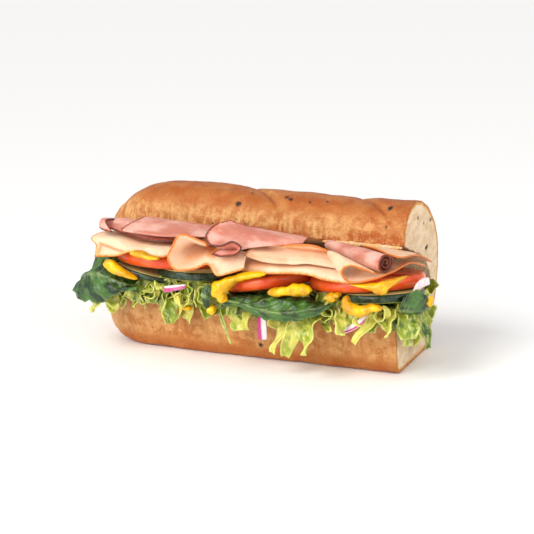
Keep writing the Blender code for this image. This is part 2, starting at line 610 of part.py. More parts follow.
def main():
    """Builds every part of the sandwich."""
    clear_scene()
    roll(material("crust", (0.55, 0.27, 0.09), 0.6))
    lettuce(material("lettuce_leaf", (0.52, 0.62, 0.16), 0.45))
    spinach(material("spinach_leaf", (0.06, 0.16, 0.05), 0.4))
    onion(material("onion_flesh", (0.75, 0.45, 0.6), 0.35))
    cucumbers(material("cucumber_flesh", (0.1, 0.2, 0.08), 0.4))
    tomatoes(material("tomato_flesh", (0.75, 0.13, 0.05), 0.3))
    mustard(material("mustard_sauce", (0.9, 0.6, 0.02), 0.35))
    turkey(material("turkey_meat", (0.86, 0.68, 0.5), 0.45))
    ham(material("ham_meat", (0.75, 0.38, 0.33), 0.4))


main()
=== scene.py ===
"""The looks of a hinge-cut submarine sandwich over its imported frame. Sizes are in millimetres."""

import math
import random

import bmesh
import bpy
import numpy as np
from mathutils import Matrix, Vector, noise


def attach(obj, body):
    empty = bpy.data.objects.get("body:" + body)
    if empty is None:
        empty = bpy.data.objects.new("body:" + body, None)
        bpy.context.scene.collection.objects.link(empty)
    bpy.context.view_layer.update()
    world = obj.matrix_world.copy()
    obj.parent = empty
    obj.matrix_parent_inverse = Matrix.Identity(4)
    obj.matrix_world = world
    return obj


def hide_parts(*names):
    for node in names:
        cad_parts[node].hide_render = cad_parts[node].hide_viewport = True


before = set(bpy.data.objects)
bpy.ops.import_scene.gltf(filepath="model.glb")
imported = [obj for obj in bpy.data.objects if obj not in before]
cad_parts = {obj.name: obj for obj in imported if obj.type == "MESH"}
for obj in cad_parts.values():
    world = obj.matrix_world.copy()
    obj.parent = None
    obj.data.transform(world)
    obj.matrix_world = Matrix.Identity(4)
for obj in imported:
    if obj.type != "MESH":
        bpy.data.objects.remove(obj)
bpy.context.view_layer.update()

MM = 0.001

# The table and the studio: a plain pale top, a broad soft light from the upper left in front, a
# weaker lamp at the right and a pale sky all round. The camera stands where the photographer stood.
CAMERA_TURN, CAMERA_RISE = math.radians(21.5), math.radians(14.0)
CAMERA_AWAY, CAMERA_LENS = 800.0, 117.0
CAMERA_AIM = Vector((4.2, 0.0, 36.1))
SKY_STRENGTH = 0.6
SUN_SPREAD = math.radians(32)
TABLE_HALF = 8000.0


def light_rgb(red, green, blue):
    """A colour as seen, 0 to 255, as the light that the shader needs."""
    parts = [v / 255 for v in (red, green, blue)]
    return tuple(s / 12.92 if s <= 0.04045 else ((s + 0.055) / 1.055) ** 2.4 for s in parts) + (1.0,)


def put_in_scene(name, data, place=None):
    """A new object of the scene. With a place in millimetres it stands there, facing the sandwich."""
    made = bpy.data.objects.new(name, data)
    bpy.context.scene.collection.objects.link(made)
    if place is not None:
        made.location = Vector(place) * MM
        made.rotation_mode = "QUATERNION"
        made.rotation_quaternion = (Vector(place) - CAMERA_AIM).to_track_quat("Z", "Y")
    return made


level_away, height_away = CAMERA_AWAY * math.cos(CAMERA_RISE), CAMERA_AWAY * math.sin(CAMERA_RISE)
camera_place = CAMERA_AIM + Vector((
    level_away * math.sin(CAMERA_TURN), -level_away * math.cos(CAMERA_TURN), height_away,
))
camera = put_in_scene("camera", bpy.data.cameras.new("camera"), camera_place)
camera.data.lens = CAMERA_LENS
bpy.context.scene.camera = camera
bpy.context.scene.view_settings.view_transform = "Standard"

for name, kind, place, settings in (
    ("key_light", "SUN", (-420, -640, 760), {"energy": 1.75, "angle": SUN_SPREAD, "color": (1.0, 0.97, 0.92)}),
    ("front_light", "AREA", (-160, -620, 260), {"energy": 1.7, "size": 0.35}),
    ("right_light", "AREA", (620, -260, 300), {"energy": 1.6, "size": 0.4}),
):
    light = bpy.data.lights.new(name, kind)
    for key, value in settings.items():
        setattr(light, key, value)
    put_in_scene(name, light, place)
sky = bpy.data.worlds.new("sky")
sky.use_nodes = True
sky.node_tree.nodes["Background"].inputs["Color"].default_value = (1.0, 1.0, 1.0, 1.0)
sky.node_tree.nodes["Background"].inputs["Strength"].default_value = SKY_STRENGTH
bpy.context.scene.world = sky

table_mesh = bpy.data.meshes.new("table_top")
corners = [(TABLE_HALF * MM * x, TABLE_HALF * MM * y, 0) for x, y in ((-1, -1), (1, -1), (1, 1), (-1, 1))]
table_mesh.from_pydata(corners, [], [(0, 1, 2, 3)])
table_finish = bpy.data.materials.new("table_finish")
table_finish.use_nodes = True
table_shader = table_finish.node_tree.nodes["Principled BSDF"]
table_shader.inputs["Base Color"].default_value = light_rgb(254, 254, 254)
table_shader.inputs["Roughness"].default_value = 0.6
table_mesh.materials.append(table_finish)
put_in_scene("table_top", table_mesh)

# The roll: half of a long wheat roll, cut across at the right end and slit from the front to a hinge
# at the back. Its crust is thin and baked, marked by two slanting cuts; the crumb is pale and open.
ROLL_HALF, LEFT_ROUND, MIDDLE, AXIS_Y = 76.0, 36.0, 37.0, 2.0
# The scores: where each crosses y = SCORE_Y, its slant, its depth, and how far it reaches each way
SCORES, SCORE_Y, SCORE_SLANT, SCORE_DEPTH, SCORE_REACH = (4.6, 55.8), -4, 0.95, 3.0, 18
ROLL_OUTLINE = (
    (-5, 0), (14, 0), (20.3, 3.2), (25, 9.5), (29.5, 19), (32.8, 29), (34, 38), (33, 47), (29.5, 54.5),
    (24, 60.4), (16.5, 66.4), (6, 71.1), (-4, 73), (-13, 70.8), (-18.5, 65), (-20.5, 58), (-23, 48),
    (-27.5, 36), (-30.5, 24), (-29.6, 13), (-27.5, 4), (-23, 0),
)
SLIT = (
    (-46, 23.3), (-30, 23.2), (-10, 21.8), (8, 22), (18, 24.5), (23.5, 29.5), (20.5, 35.5), (15, 41.3),
    (8, 45.8), (-4, 50.2), (-17.5, 55.1), (-24, 57.3), (-46, 65.3),
)
# Burnt specks of grain on the crust and in the crumb: where, and how wide
SPECKS = (
    ((-3, -16.5, 68.5), 1.7), ((17.9, -10.2, 71.8), 1.2), ((20.3, -11.8, 71.4), 1.3),
    ((66.7, -11.8, 71), 1.7), ((12.6, -28.7, 7.7), 1.6), ((29.7, -12.5, 71.1), 0.8),
    ((37.5, -11.5, 71.5), 0.8), ((0.7, -9.2, 72.1), 0.9), ((-13.9, -20.3, 59.5), 0.9),
    ((-2.7, -19.7, 62.2), 0.7), ((1.7, -20, 60.4), 0.9), ((-26, -20.6, 58.4), 0.8),
    ((67.3, -18.6, 64.1), 0.8), ((76, 14.2, 48.5), 1.3), ((76, 20, 60.1), 0.9),
    ((76, 8.8, 60.5), 0.6), ((76, -0.2, 65), 0.6),
)
CRUST_PALE, CRUST_GOLD, CRUST_DEEP = (202, 144, 84), (182, 110, 50), (168, 84, 22)
CRUMB_PALE, CRUMB_SHADE = (234, 210, 178), (218, 186, 146)
# The crumb's cells are drawn out along the loaf's depth
CRUMB_GRAIN = (1, 0.45, 1)


def shares(controls, count, closed=False):
    """The share of each control point in each of the points along a smooth curve through them."""
    spans = controls if closed else controls - 1
    place = np.linspace(0, spans, count, endpoint=not closed)
    k = np.minimum(place.astype(int), spans - 1)
    t = place - k
    parts = (
        -t / 2 + t * t - t ** 3 / 2, 1 - 2.5 * t * t + 1.5 * t ** 3,
        t / 2 + 2 * t * t - 1.5 * t ** 3, t ** 3 / 2 - t * t / 2,
    )
    own = np.eye(controls)
    before, after = (own[-1:], own[:2]) if closed else (2 * own[:1] - own[1:2], 2 * own[-1:] - own[-2:-1])
    table = np.concatenate([before, own, after])
    return sum(part[:, None] * table[k + j] for j, part in enumerate(parts))


def roughly(points, period, offset=(0.0, 0.0, 0.0), octaves=2):
    """Smooth random values, about -1 to 1, at points in millimetres."""
    shift = Vector(offset)
    values = [noise.fractal(Vector(p) / period + shift, 0.7, 2.1, octaves) for p in points.reshape(-1, 3)]
    return np.array(values).reshape(points.shape[:-1])


def smooth_step(low, high, values):
    """0 below low, 1 above high and smooth between."""
    t = np.clip((values - low) / (high - low), 0, 1)
    return t * t * (3 - 2 * t)


def add_marks(mesh, **marks):
    """Named values at a mesh's points, which its finish reads."""
    for name, values in marks.items():
        layer = mesh.attributes.new(name, "FLOAT", "POINT")
        layer.data.foreach_set("value", np.asarray(values, np.float32).ravel())


def make_mesh(name, points, faces, finish, **marks):
    """A smooth-shaded object in a finish, with its marks."""
    mesh = bpy.data.meshes.new(name)
    mesh.from_pydata((np.asarray(points, float) * MM).tolist(), [], faces)
    shape = bmesh.new()
    shape.from_mesh(mesh)
    bmesh.ops.recalc_face_normals(shape, faces=shape.faces)
    shape.to_mesh(mesh)
    shape.free()
    add_marks(mesh, **marks)
    mesh.shade_smooth()
    mesh.materials.append(finish.material)
    return put_in_scene(name, mesh)


def tube(rings):
    """Points and faces of a closed body through rings, an array of rings by points by 3."""
    count, around = rings.shape[:2]
    faces = []
    for k in range(count - 1):
        for j in range(around):
            a, b = k * around + j, k * around + (j + 1) % around
            faces.append((a, b, b + around, a + around))
    for first, middle in ((0, count * around), ((count - 1) * around, count * around + 1)):
        faces += [(first + j, first + (j + 1) % around, middle) for j in range(around)]
    return np.concatenate([rings.reshape(-1, 3), [rings[0].mean(0), rings[-1].mean(0)]]), faces


def score_lines(x, y):
    """For each score: how far a place is to the right of it, and how deep it still is there."""
    for start in SCORES:
        yield x - (start + SCORE_SLANT * (SCORE_Y - y)), np.exp(-((y - 1) / SCORE_REACH) ** 4)


def roll_surface(stations, around):
    """The baked outside of the roll before its relief, an array of stations by points by 3."""
    t = np.linspace(0, 1, stations)
    x = (-ROLL_HALF + ROLL_HALF * 2 * (t - 0.09 * np.sin(math.pi * t) * (1 - t)))[:, None]
    section = shares(len(ROLL_OUTLINE), around, True) @ np.array(ROLL_OUTLINE, float)
    y, z = section[None, :, 0], np.maximum(section[None, :, 1], 0)
    t = np.clip((LEFT_ROUND - ROLL_HALF - x) / LEFT_ROUND, 0, 0.985)
    round_end, blunt_end = np.sqrt(1 - t * t), np.sqrt(1 - t ** 4)
    swell = 1 + 0.042 * np.exp(-((x + 20) / 23) ** 2)
    tall = MIDDLE + (z - MIDDLE) * np.where(z > MIDDLE, round_end * swell, blunt_end)
    narrow = 0.95 + 0.05 * np.minimum((x + ROLL_HALF) / 50, 1)
    wide = AXIS_Y + (y - AXIS_Y) * (round_end * 0.75 + blunt_end * 0.25) * narrow
    for away, fade in score_lines(x, y):
        sides = np.exp(-(away / np.where(away < 0, 8, 5)) ** 2)
        notch = 0.6 * np.exp(-(away / 1.6) ** 2) + 0.35 * sides
        tall = tall - SCORE_DEPTH * fade * (z >= MIDDLE) * notch
    return np.stack([x + 0 * wide, wide, tall], -1)


def grid_normals(grid):
    """Unit normals of a grid of points."""
    along = np.gradient(grid, axis=0)
    across = np.gradient(grid, axis=1)
    out = np.cross(along, across)
    return out / np.maximum(np.linalg.norm(out, axis=-1, keepdims=True), 1e-9)


crust = roll_surface(230, 230)
crust_out = grid_normals(crust)
if (crust_out[100, :, 1] * (crust[100, :, 1] - AXIS_Y)).sum() < 0:
    crust_out = -crust_out
steep = 1 - np.abs(crust_out[..., 2]) ** 2
pucker = roughly(crust * (1, 0.35, 0.2), 3.4, (7, 1, 3)) * steep
crust_lift = 0.28 * roughly(crust, 17) + 0.2 * roughly(crust, 5.5, (3, 3, 3)) + 0.34 * pucker
crust = crust + crust_out * crust_lift[..., None]
crust[..., 2] = np.maximum(crust[..., 2], 0)

# The cut end and the round end are closed by rings that shrink towards the middle of the section
cut_shares = 1 - np.array([0.006, 0.016, 0.03, 0.05, *np.linspace(0.08, 0.97, 26)])
cut_middle = np.array([ROLL_HALF, AXIS_Y, MIDDLE])
cut_rings = cut_middle + (crust[-1] - cut_middle)[None] * cut_shares[:, None, None]
cut_rings[..., 0] += 0.08 * roughly(cut_rings, 4.0, (5, 0, 0))
end_middle = np.array([crust[0, 0, 0] - 0.4, AXIS_Y, MIDDLE])
end_rings = end_middle + (crust[0] - end_middle)[None] * np.linspace(0.1, 0.9, 5)[:, None, None]
end_rings[..., 0] = crust[0, 0, 0] - 0.35
loaf_points, loaf_faces = tube(np.concatenate([end_rings, crust, cut_rings]))

# The wedge that the knife opened, with torn crumb on both its faces
wedge_outline = []
for (y0, z0), (y1, z1) in zip(SLIT, SLIT[1:] + SLIT[:1]):
    steps = max(int(math.hypot(y1 - y0, z1 - z0) / 1.4), 1)
    wedge_outline += [(y0 + (y1 - y0) * k / steps, z0 + (z1 - z0) * k / steps) for k in range(steps)]
wedge_outline = np.array(wedge_outline)
wedge_x = np.linspace(-ROLL_HALF - 4, ROLL_HALF + 4, 120)[:, None]
wave = 0.5 * np.sin(wedge_x / 11.0) + 0.4 * np.sin(wedge_x / 5.3 + 1)
wedge_z = wedge_outline[None, :, 1] + wave * np.where(wedge_outline[None, :, 1] < 30, 0.3, 0.6)
wedge = np.stack([wedge_x + 0 * wedge_z, wedge_outline[None, :, 0] + 0 * wedge_z, wedge_z], -1)
torn = 0.4 * roughly(wedge, 3.2, (1, 8, 2), 3)
wedge[..., 2] += torn * (wedge[..., 1] > -44)


def add_node(tree, kind, sockets, **settings):
    """A shader node with its settings, and its sockets linked or filled."""
    made = tree.nodes.new("ShaderNode" + kind)
    for key, value in settings.items():
        setattr(made, key, value)
    for key, value in sockets.items():
        if isinstance(value, bpy.types.NodeSocket):
            tree.links.new(value, made.inputs[key])
        else:
            made.inputs[key].default_value = value
    return made


def add_patch_group():
    """A node group that gives soft or crisp random patches of a period in millimetres."""
    group = bpy.data.node_groups.new("random_patches", "ShaderNodeTree")
    for name, kind in (("Period", "Float"), ("Stretch", "Vector"), ("Low", "Float"), ("High", "Float")):
        group.interface.new_socket(name, in_out="INPUT", socket_type="NodeSocket" + kind)
    group.interface.new_socket("Mask", in_out="OUTPUT", socket_type="NodeSocketFloat")
    given = group.nodes.new("NodeGroupInput").outputs
    place = add_node(group, "TexCoord", {}).outputs["Object"]
    bent = add_node(group, "VectorMath", {0: place, 1: given["Stretch"]}, operation="MULTIPLY").outputs[0]
    rate = add_node(group, "Math", {0: 1 / MM, 1: given["Period"]}, operation="DIVIDE").outputs[0]
    cloud = add_node(group, "TexNoise", {"Vector": bent, "Scale": rate, "Detail": 3.0}).outputs["Fac"]
    sockets = {"Value": cloud, "From Min": given["Low"], "From Max": given["High"]}
    mask = add_node(group, "MapRange", sockets, interpolation_type="SMOOTHSTEP")
    group.links.new(mask.outputs[0], group.nodes.new("NodeGroupOutput").inputs["Mask"])
    return group


patch_group = add_patch_group()


class Finish:
    """A material in the making. Its tint is laid in coats, each where its masks are high."""

    def __init__(self, name, roughness, specular=0.5, glow=()):
        """glow: how much light passes through, how far in metres, and each colour's share of that."""
        self.material = bpy.data.materials.new(name)
        self.material.use_nodes = True
        self.name, self.tree, self.tint = name, self.material.node_tree, None
        self.shader = self.tree.nodes["Principled BSDF"]
        glows = ["Subsurface " + word for word in ("Weight", "Scale", "Radius")]
        sockets = ["Roughness", "Specular IOR Level", *glows]
        for socket, value in zip(sockets, (roughness, specular, *glow)):
            self.shader.inputs[socket].default_value = value

    def patches(self, period, low=0.3, high=0.7, stretch=(1, 1, 1)):
        """Random patches: their mask, 0 to 1."""
        sockets = {"Period": period, "Low": low, "High": high, "Stretch": stretch}
        return add_node(self.tree, "Group", sockets, node_tree=patch_group).outputs["Mask"]

    def mark(self, name):
        """A named value of the mesh."""
        return add_node(self.tree, "Attribute", {}, attribute_name=name).outputs["Fac"]

    def reckon(self, operation, *values):
        """The sum, product or other result of one or more values."""
        result = values[0]
        for value in values[1:]:
            result = add_node(self.tree, "Math", {0: result, 1: value}, operation=operation).outputs[0]
        return result

    def ranged(self, value, low, high, start=0.0, end=1.0):
        """A value taken from one range to another, smoothly and within it."""
        sockets = {"Value": value, "From Min": low, "From Max": high, "To Min": start, "To Max": end}
        return add_node(self.tree, "MapRange", sockets, interpolation_type="SMOOTHSTEP").outputs[0]

    def uneven(self, name, period, much):
        """A named value of the mesh, made uneven by random patches."""
        return self.reckon("ADD", self.mark(name), self.ranged(self.patches(period), 0, 1, -much, much))

    def over(self, base, colour, *masks):
        """A colour over a base, as far as the product of the masks says."""
        base, colour = (light_rgb(*v) if isinstance(v, tuple) else v for v in (base, colour))
        sockets = {0: self.reckon("MULTIPLY", *masks), 6: base, 7: colour}
        return add_node(self.tree, "Mix", sockets, data_type="RGBA").outputs[2]

    def coat(self, colour, *masks):
        """Lays a colour over the tint so far."""
        self.tint = self.over(self.tint, colour, *masks)

    def close(self, height, depth_mm, roughness=None):
        """Links the tint, the relief and an uneven roughness to the shader."""
        relief = add_node(self.tree, "Bump", {"Height": height, "Distance": depth_mm * MM, "Strength": 1.0})
        self.tree.links.new(self.tint, self.shader.inputs["Base Color"])
        self.tree.links.new(relief.outputs[0], self.shader.inputs["Normal"])
        if roughness:
            self.tree.links.new(roughness, self.shader.inputs["Roughness"])


bread = Finish("wheat_crust", 0.55, 0.3)
bread.shader.inputs["Sheen Weight"].default_value = 0.02
depth, floury, pucker = (bread.mark(name) for name in ("depth", "floury", "pucker"))
bake = bread.uneven("bake", 9, 0.16)
bread.tint = bread.over(CRUST_PALE, CRUST_GOLD, bread.ranged(bake, 0.1, 0.55))
bread.coat(CRUST_DEEP, bread.ranged(bake, 0.55, 1.0))
# Floury mottles, darker clouds, painted highlights on the wrinkles' ridges and painted shade between them,
# bran like pepper, and dry flour
bread.coat((222, 168, 104), bread.patches(4.5, 0.45, 0.62, (1, 1, 1.2)), floury, 0.6)
bread.coat((156, 86, 30), bread.patches(5.5, 0.5, 0.7, (0.7, 1, 0.8)), 0.3)
ridge_highlight_and_bump = bread.patches(2.4, 0.46, 0.66, (1.0, 0.35, 0.25))
# Painted highlight on the ridges of the wrinkles, then painted shade in their grooves
bread.coat((218, 166, 106), ridge_highlight_and_bump, pucker, 0.8)
bread.coat((150, 84, 30), bread.patches(2.0, 0.54, 0.68, (1.0, 0.3, 0.3)), pucker, 0.5)
bread.coat((146, 80, 28), bread.patches(0.9, 0.54, 0.66), 0.35)
bread.coat((228, 180, 118), bread.patches(1.3, 0.58, 0.72, (1, 1, 0.8)), floury, 0.4)
# Inside the crust: a darker rind, and then crumb with shaded cells
crumb = bread.over(CRUMB_PALE, CRUMB_SHADE, bread.patches(4.2, 0.35, 0.65, CRUMB_GRAIN))
crumb = bread.over(crumb, (206, 164, 116), bread.patches(1.6, 0.62, 0.72, CRUMB_GRAIN), 0.4)
crumb = bread.over(crumb, (150, 96, 56), bread.patches(1.1, 0.68, 0.74, CRUMB_GRAIN), 0.6)
deep = bread.uneven("depth", 2.5, 0.35)
rind = bread.over((196, 122, 52), (228, 176, 104), bread.ranged(deep, 0.25, 1.5))
bread.coat(bread.over(rind, crumb, bread.ranged(deep, 1.1, 2.0)), bread.ranged(depth, 0.12, 0.4))
bread.coat((44, 22, 14), bread.mark("speck"))
cells = bread.patches(1.7, 0.35, 0.5, CRUMB_GRAIN)
cells = bread.reckon("MULTIPLY", cells, bread.ranged(depth, 0.5, 1.6, 0.0, 1.6))
wrinkles = bread.reckon("MULTIPLY", ridge_highlight_and_bump, bread.ranged(depth, 0.1, 0.5, 0.8, 0.0))
bread.close(
    bread.reckon("ADD", bread.patches(0.8), wrinkles, cells), 0.14, bread.ranged(depth, 0.1, 1.0, 0.5, 0.85),
)

loaf = make_mesh("roll_bread", loaf_points, loaf_faces, bread)
knife = make_mesh("knife_wedge", *tube(wedge), bread)
cut = loaf.modifiers.new("slit", "BOOLEAN")
cut.operation, cut.object, cut.solver = "DIFFERENCE", knife, "MANIFOLD"
opened = bpy.data.meshes.new_from_object(loaf.evaluated_get(bpy.context.evaluated_depsgraph_get()))
loaf.modifiers.clear()
loaf.data = opened
bpy.data.objects.remove(knife)

at = np.empty(len(opened.vertices) * 3)
opened.vertices.foreach_get("co", at)
at = at.reshape(-1, 3) / MM
depths = np.empty(len(at))
stations_x = crust[:, 0, 0]
nearest = np.clip(np.searchsorted(stations_x, at[:, 0]), 0, len(stations_x) - 1)
for k in np.unique(nearest):
    rows = np.nonzero(nearest == k)[0]
    ring = crust[max(k - 1, 0):k + 1, :, 1:].reshape(-1, 2)
    ring = np.concatenate([ring, (ring + np.roll(ring, 1, 0)) / 2])
    depths[rows] = np.sqrt(((at[rows, None, 1:] - ring[None]) ** 2).sum(-1)).min(1)
depths = np.maximum(depths - 0.35, 0) * (at[:, 0] > LEFT_ROUND - ROLL_HALF - 33)
x, y, z = at.T
crown = np.where(y < -12, z > 44, smooth_step(36, 66, z))
# The crown's crust is darker towards its lower front edge
lower_lip_darkening = 0.8 * (1 - smooth_step(56, 64, z)) * (y < -8)
crown_bake = 0.32 + 0.5 * smooth_step(61, 71, z) + lower_lip_darkening + 0.15 * smooth_step(40, 66, x)
heel_bake = 0.43 + 0.3 * (1 - smooth_step(2, 8, z)) - 0.1 * smooth_step(14, 22, z)
bake = heel_bake + (crown_bake - heel_bake) * crown - 0.18 * smooth_step(-50, -70, x)
bake = bake + 0.12 * roughly(at, 14, (2, 2, 9))
floury = smooth_step(5, 9, z) * (1 - 0.85 * smooth_step(64, 69, z))
pucker = np.where(y < 0, crown * smooth_step(54, 58, z), 0.4) * (1 - smooth_step(62, 69, z))
heel_pucker = (1 - crown) * 0.5 * smooth_step(4, 9, z)
pucker = np.maximum(pucker * (1 - 0.75 * smooth_step(46, 58, x) * crown), heel_pucker)
for away, fade in score_lines(x, y):
    fade = fade * (z > MIDDLE + 20)
    # Along each score: a darker line in its groove, and a paler smooth strip beside it
    smooth_strip = fade * smooth_step(0.2, 1.4, away) * (1 - smooth_step(3.5, 6, away))
    bake = bake + 0.5 * fade * np.exp(-((away + 0.5) / 1.0) ** 2) - 0.4 * smooth_strip
    floury, pucker = floury * (1 - smooth_strip), pucker * (1 - smooth_strip)
speck = np.zeros(len(at))
for place, wide in SPECKS:
    spread = (1, 0.5, 1) if place[0] == ROLL_HALF else (1, 0.8, 1.2)
    away = np.linalg.norm((at - np.array(place)) * spread, axis=1) * (1 + 0.3 * roughly(at, 1.2))
    speck = np.maximum(speck, 1 - smooth_step(wide * 0.6, wide, away))
add_marks(opened, bake=bake, pucker=pucker, floury=floury, depth=depths, speck=speck)
opened.shade_smooth()
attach(loaf, "root")
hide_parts("roll")

# The torn crumb: a ragged pale strip that stays along the crown's front edge where the knife left off.
EDGE_FROM, EDGE_TO, EDGE_Y, EDGE_Z = 39.0, 75.4, -21.4, 55.9
edge_x = np.linspace(EDGE_FROM, EDGE_TO, 150)[:, None]
edge_turn = (math.tau * np.arange(18) / 18)[None]
edge_size = 0.9 * np.sin(np.linspace(0.02, 0.98, 150) * math.pi)[:, None] ** 0.3
edge_y, edge_z = EDGE_Y + 1.3 * edge_size * np.cos(edge_turn), EDGE_Z + edge_size * np.sin(edge_turn)
torn_edge = np.stack([edge_x + 0 * edge_turn, edge_y, edge_z], -1)
ragged = 0.5 * roughly(torn_edge, 3.0, (4, 1, 0), 3)[..., None]
torn_edge += (torn_edge - torn_edge.mean(1, keepdims=True)) * ragged
points, faces = tube(torn_edge)
marks = {"depth": np.full(len(points), 1.5), "bake": np.zeros(len(points))}
crumb_strip = make_mesh("crown_edge_crumb", points, faces, bread, **marks)
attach(crumb_strip, "root")

# The lettuce: a heap of fine-cut shreds packed under the slices. Its broad cut strips spill over the
# front edge and over the cut end, curling and hanging limp.
STACK_LEAN, STACK_FRONT = -0.11, -42.0
# The underside of the slices at the front edge: x and height
STACK_FLOOR = (
    (-80, 38), (-60, 36), (-36, 31.6), (-13, 29.8), (5, 32), (24, 34.6), (46, 33.2), (66, 35), (92, 38),
)
LEAF_THICK, LIP_SHARE = 0.5, 0.35
# Strips that stand out: start (x, y, z), way out in degrees (0 is the front, 90 the cut end), length,
# width, bend from and to in degrees (90 is outward, 0 straight down), twist, lean along the edge, tone
STRIPS = (
    ((-61, -36, 30), -8, 15, 8, (80, 5), 0.3, -3, 0.75), ((-58, -37, 29), 0, 12, 7, (70, -20), -0.4, 2, 0.8),
    ((-63, -33, 29), -20, 11, 7, (80, 0), 0.4, -2, 0.65), ((-52, -36, 30), 0, 10, 6, (80, -30), 0.5, -3, 0.5),
    ((-44, -37, 31), 0, 11, 6, (95, -40), 0.8, 3, 0.6), ((-36, -37, 33), 0, 9, 9, (85, 50), 0.3, -3, 0.55),
    ((-30, -37, 34), 0, 8, 10, (88, 60), -0.3, 2, 0.7), ((-29, -38, 29), 0, 15, 2.2, (125, 50), 0.6, 12, 1.0),
    ((-34, -36, 29), 0, 13, 7, (95, -50), 0.8, 3, 0.6), ((-27, -37, 28), 0, 15, 7, (90, 10), -0.5, 1, 0.4),
    ((-22, -37, 29), 0, 16, 5, (115, -90), 1.2, -2, 0.8), ((-17, -37, 27), 0, 12, 5, (80, -40), 0.6, -3, 0.95),
    ((-13, -36, 29), 0, 12, 5, (90, 0), -0.5, 4, 0.35), ((-10, -36, 33), 0, 7, 8, (85, 50), 0.2, 1, 0.5),
    ((-6, -37, 27), 0, 21, 1.6, (75, 2), 0.4, 11, 0.35), ((7, -37, 27), 0, 12.5, 13, (85, 2), 0.15, 2, 0.8),
    ((1, -36, 30), 0, 10, 6, (85, 0), -0.3, -2, 0.5), ((24, -37, 26), 0, 9, 6, (80, 20), -0.5, -2, 0.9),
    ((33, -37, 27), 0, 23, 5.5, (85, 0), 0.6, -8, 0.9), ((38, -37, 28), 0, 24.5, 6, (85, -8), -0.5, -8, 0.85),
    ((42, -38, 29), 0, 24, 8.5, (88, 12), 0.5, 0, 0.72), ((44, -38, 25), 0, 10, 3.5, (70, 60), 0.3, 7, 0.8),
    ((40, -38, 31), 0, 11, 3, (100, 20), 0.4, 1, 0.45), ((45, -37, 30), 0, 10, 4, (100, 20), -0.4, 3, 0.2),
    ((50, -38, 33), 0, 15, 7, (110, -110), 0.6, -2, 0.75), ((53, -38, 31), 0, 16, 6, (90, 30), -0.5, 3, 0.85),
    ((73, -38, 31), 0, 20, 4.5, (85, 8), 0.35, -12, 0.95),
    ((76, -37, 32), 0, 14, 6, (95, 0), 0.7, 0, 0.9),
    ((80, -36, 34), 10, 17, 4.5, (125, -190), 0.3, 2, 0.8), ((66, -37, 30), 0, 10, 7, (80, 0), 0.3, 2, 0.45),
    ((80, -34, 32), 30, 15, 9, (85, 5), 0.3, 2, 0.35), ((79, -29, 33), 60, 14, 8, (88, 20), -0.3, 4, 0.45),
    ((76, -27, 29), 80, 17, 9, (75, 0), 0.2, -1, 0.7), ((76, -20, 29), 90, 19, 9, (75, -5), -0.3, 0, 0.6),
    ((76, -14, 29), 90, 24, 6, (75, 2), 0.3, 2, 0.2), ((76, -8, 29), 90, 19, 8, (75, 0), 0.4, 1, 0.5),
    ((76, -1, 29), 90, 17, 8, (75, 0), -0.3, 0, 0.6), ((76, 3, 28), 95, 13, 7, (80, 5), 0.5, 1, 0.55),
    ((77, 2, 29), 95, 12, 8, (95, 140), 0.6, 2, 0.45), ((77, -6, 29), 90, 10, 7, (95, 120), -0.5, 1, 0.6),
    ((77, 8, 27), 100, 11, 7, (85, 10), -0.4, 0, 0.6),
)
# Strips that curl along the edge, so that the front shows them as rings and hooks
CURLS = (
    ((-33, -40, 33), 80, 12, 3.5, (110, -120), 0.4, 0, 0.9),
    ((-24, -41, 31), -70, 15, 4, (115, -190), 0.3, 0, 0.95),
    ((-15, -41, 30), 75, 13, 3.5, (100, -200), -0.3, 0, 1.0),
    ((-12, -40, 35), -80, 10, 4, (110, -60), 0.4, 0, 0.5),
    ((46, -42, 33), -75, 13, 4, (120, -170), 0.3, 0, 0.85),
    ((52, -42, 31), 70, 12, 4, (110, -160), -0.4, 0, 0.8),
    ((76, -42, 34), 80, 16, 4, (125, -200), 0.2, 0, 0.8),
    ((70, -42, 33), -75, 12, 4, (105, -120), 0.4, 0, 0.7),
    ((-45, -41, 32), 75, 11, 4, (100, -140), 0.4, 0, 0.7),
    ((-60, -40, 28), -75, 11, 4, (100, -120), 0.4, 0, 0.85),
    ((60, -42, 30), -80, 10, 3.5, (100, -140), 0.5, 0, 0.9),
    ((4, -41, 31), 70, 10, 4, (100, -60), 0.5, 0, 0.4),
)
# Leaves that fill the hollows behind, up to the slices above: x and height
BACKING = (
    (-40, 34), (-35, 35), (-31, 36), (-27, 36), (-23, 36), (-19, 36), (-15, 36), (-12, 36), (-9, 36),
    (-5, 36), (-1, 34), (4, 30.5),
    (10, 31), (16, 31.5), (36, 35), (44, 37), (48, 38), (52, 38), (57, 35), (62, 35), (67, 35),
)
FILL_STRIPS, END_STRIPS, TOP_STRIPS = 44, 34, 60
# In front of this the strips are pressed back towards the heap
FRONT_REACH, FRONT_PRESS = -49.5, 0.62


def stack_floor(x, y):
    """The underside of the vegetable slices."""
    floor = np.interp([x - 5, x, x + 5], *np.array(STACK_FLOOR, float).T).mean()
    return floor + STACK_LEAN * (y - STACK_FRONT)


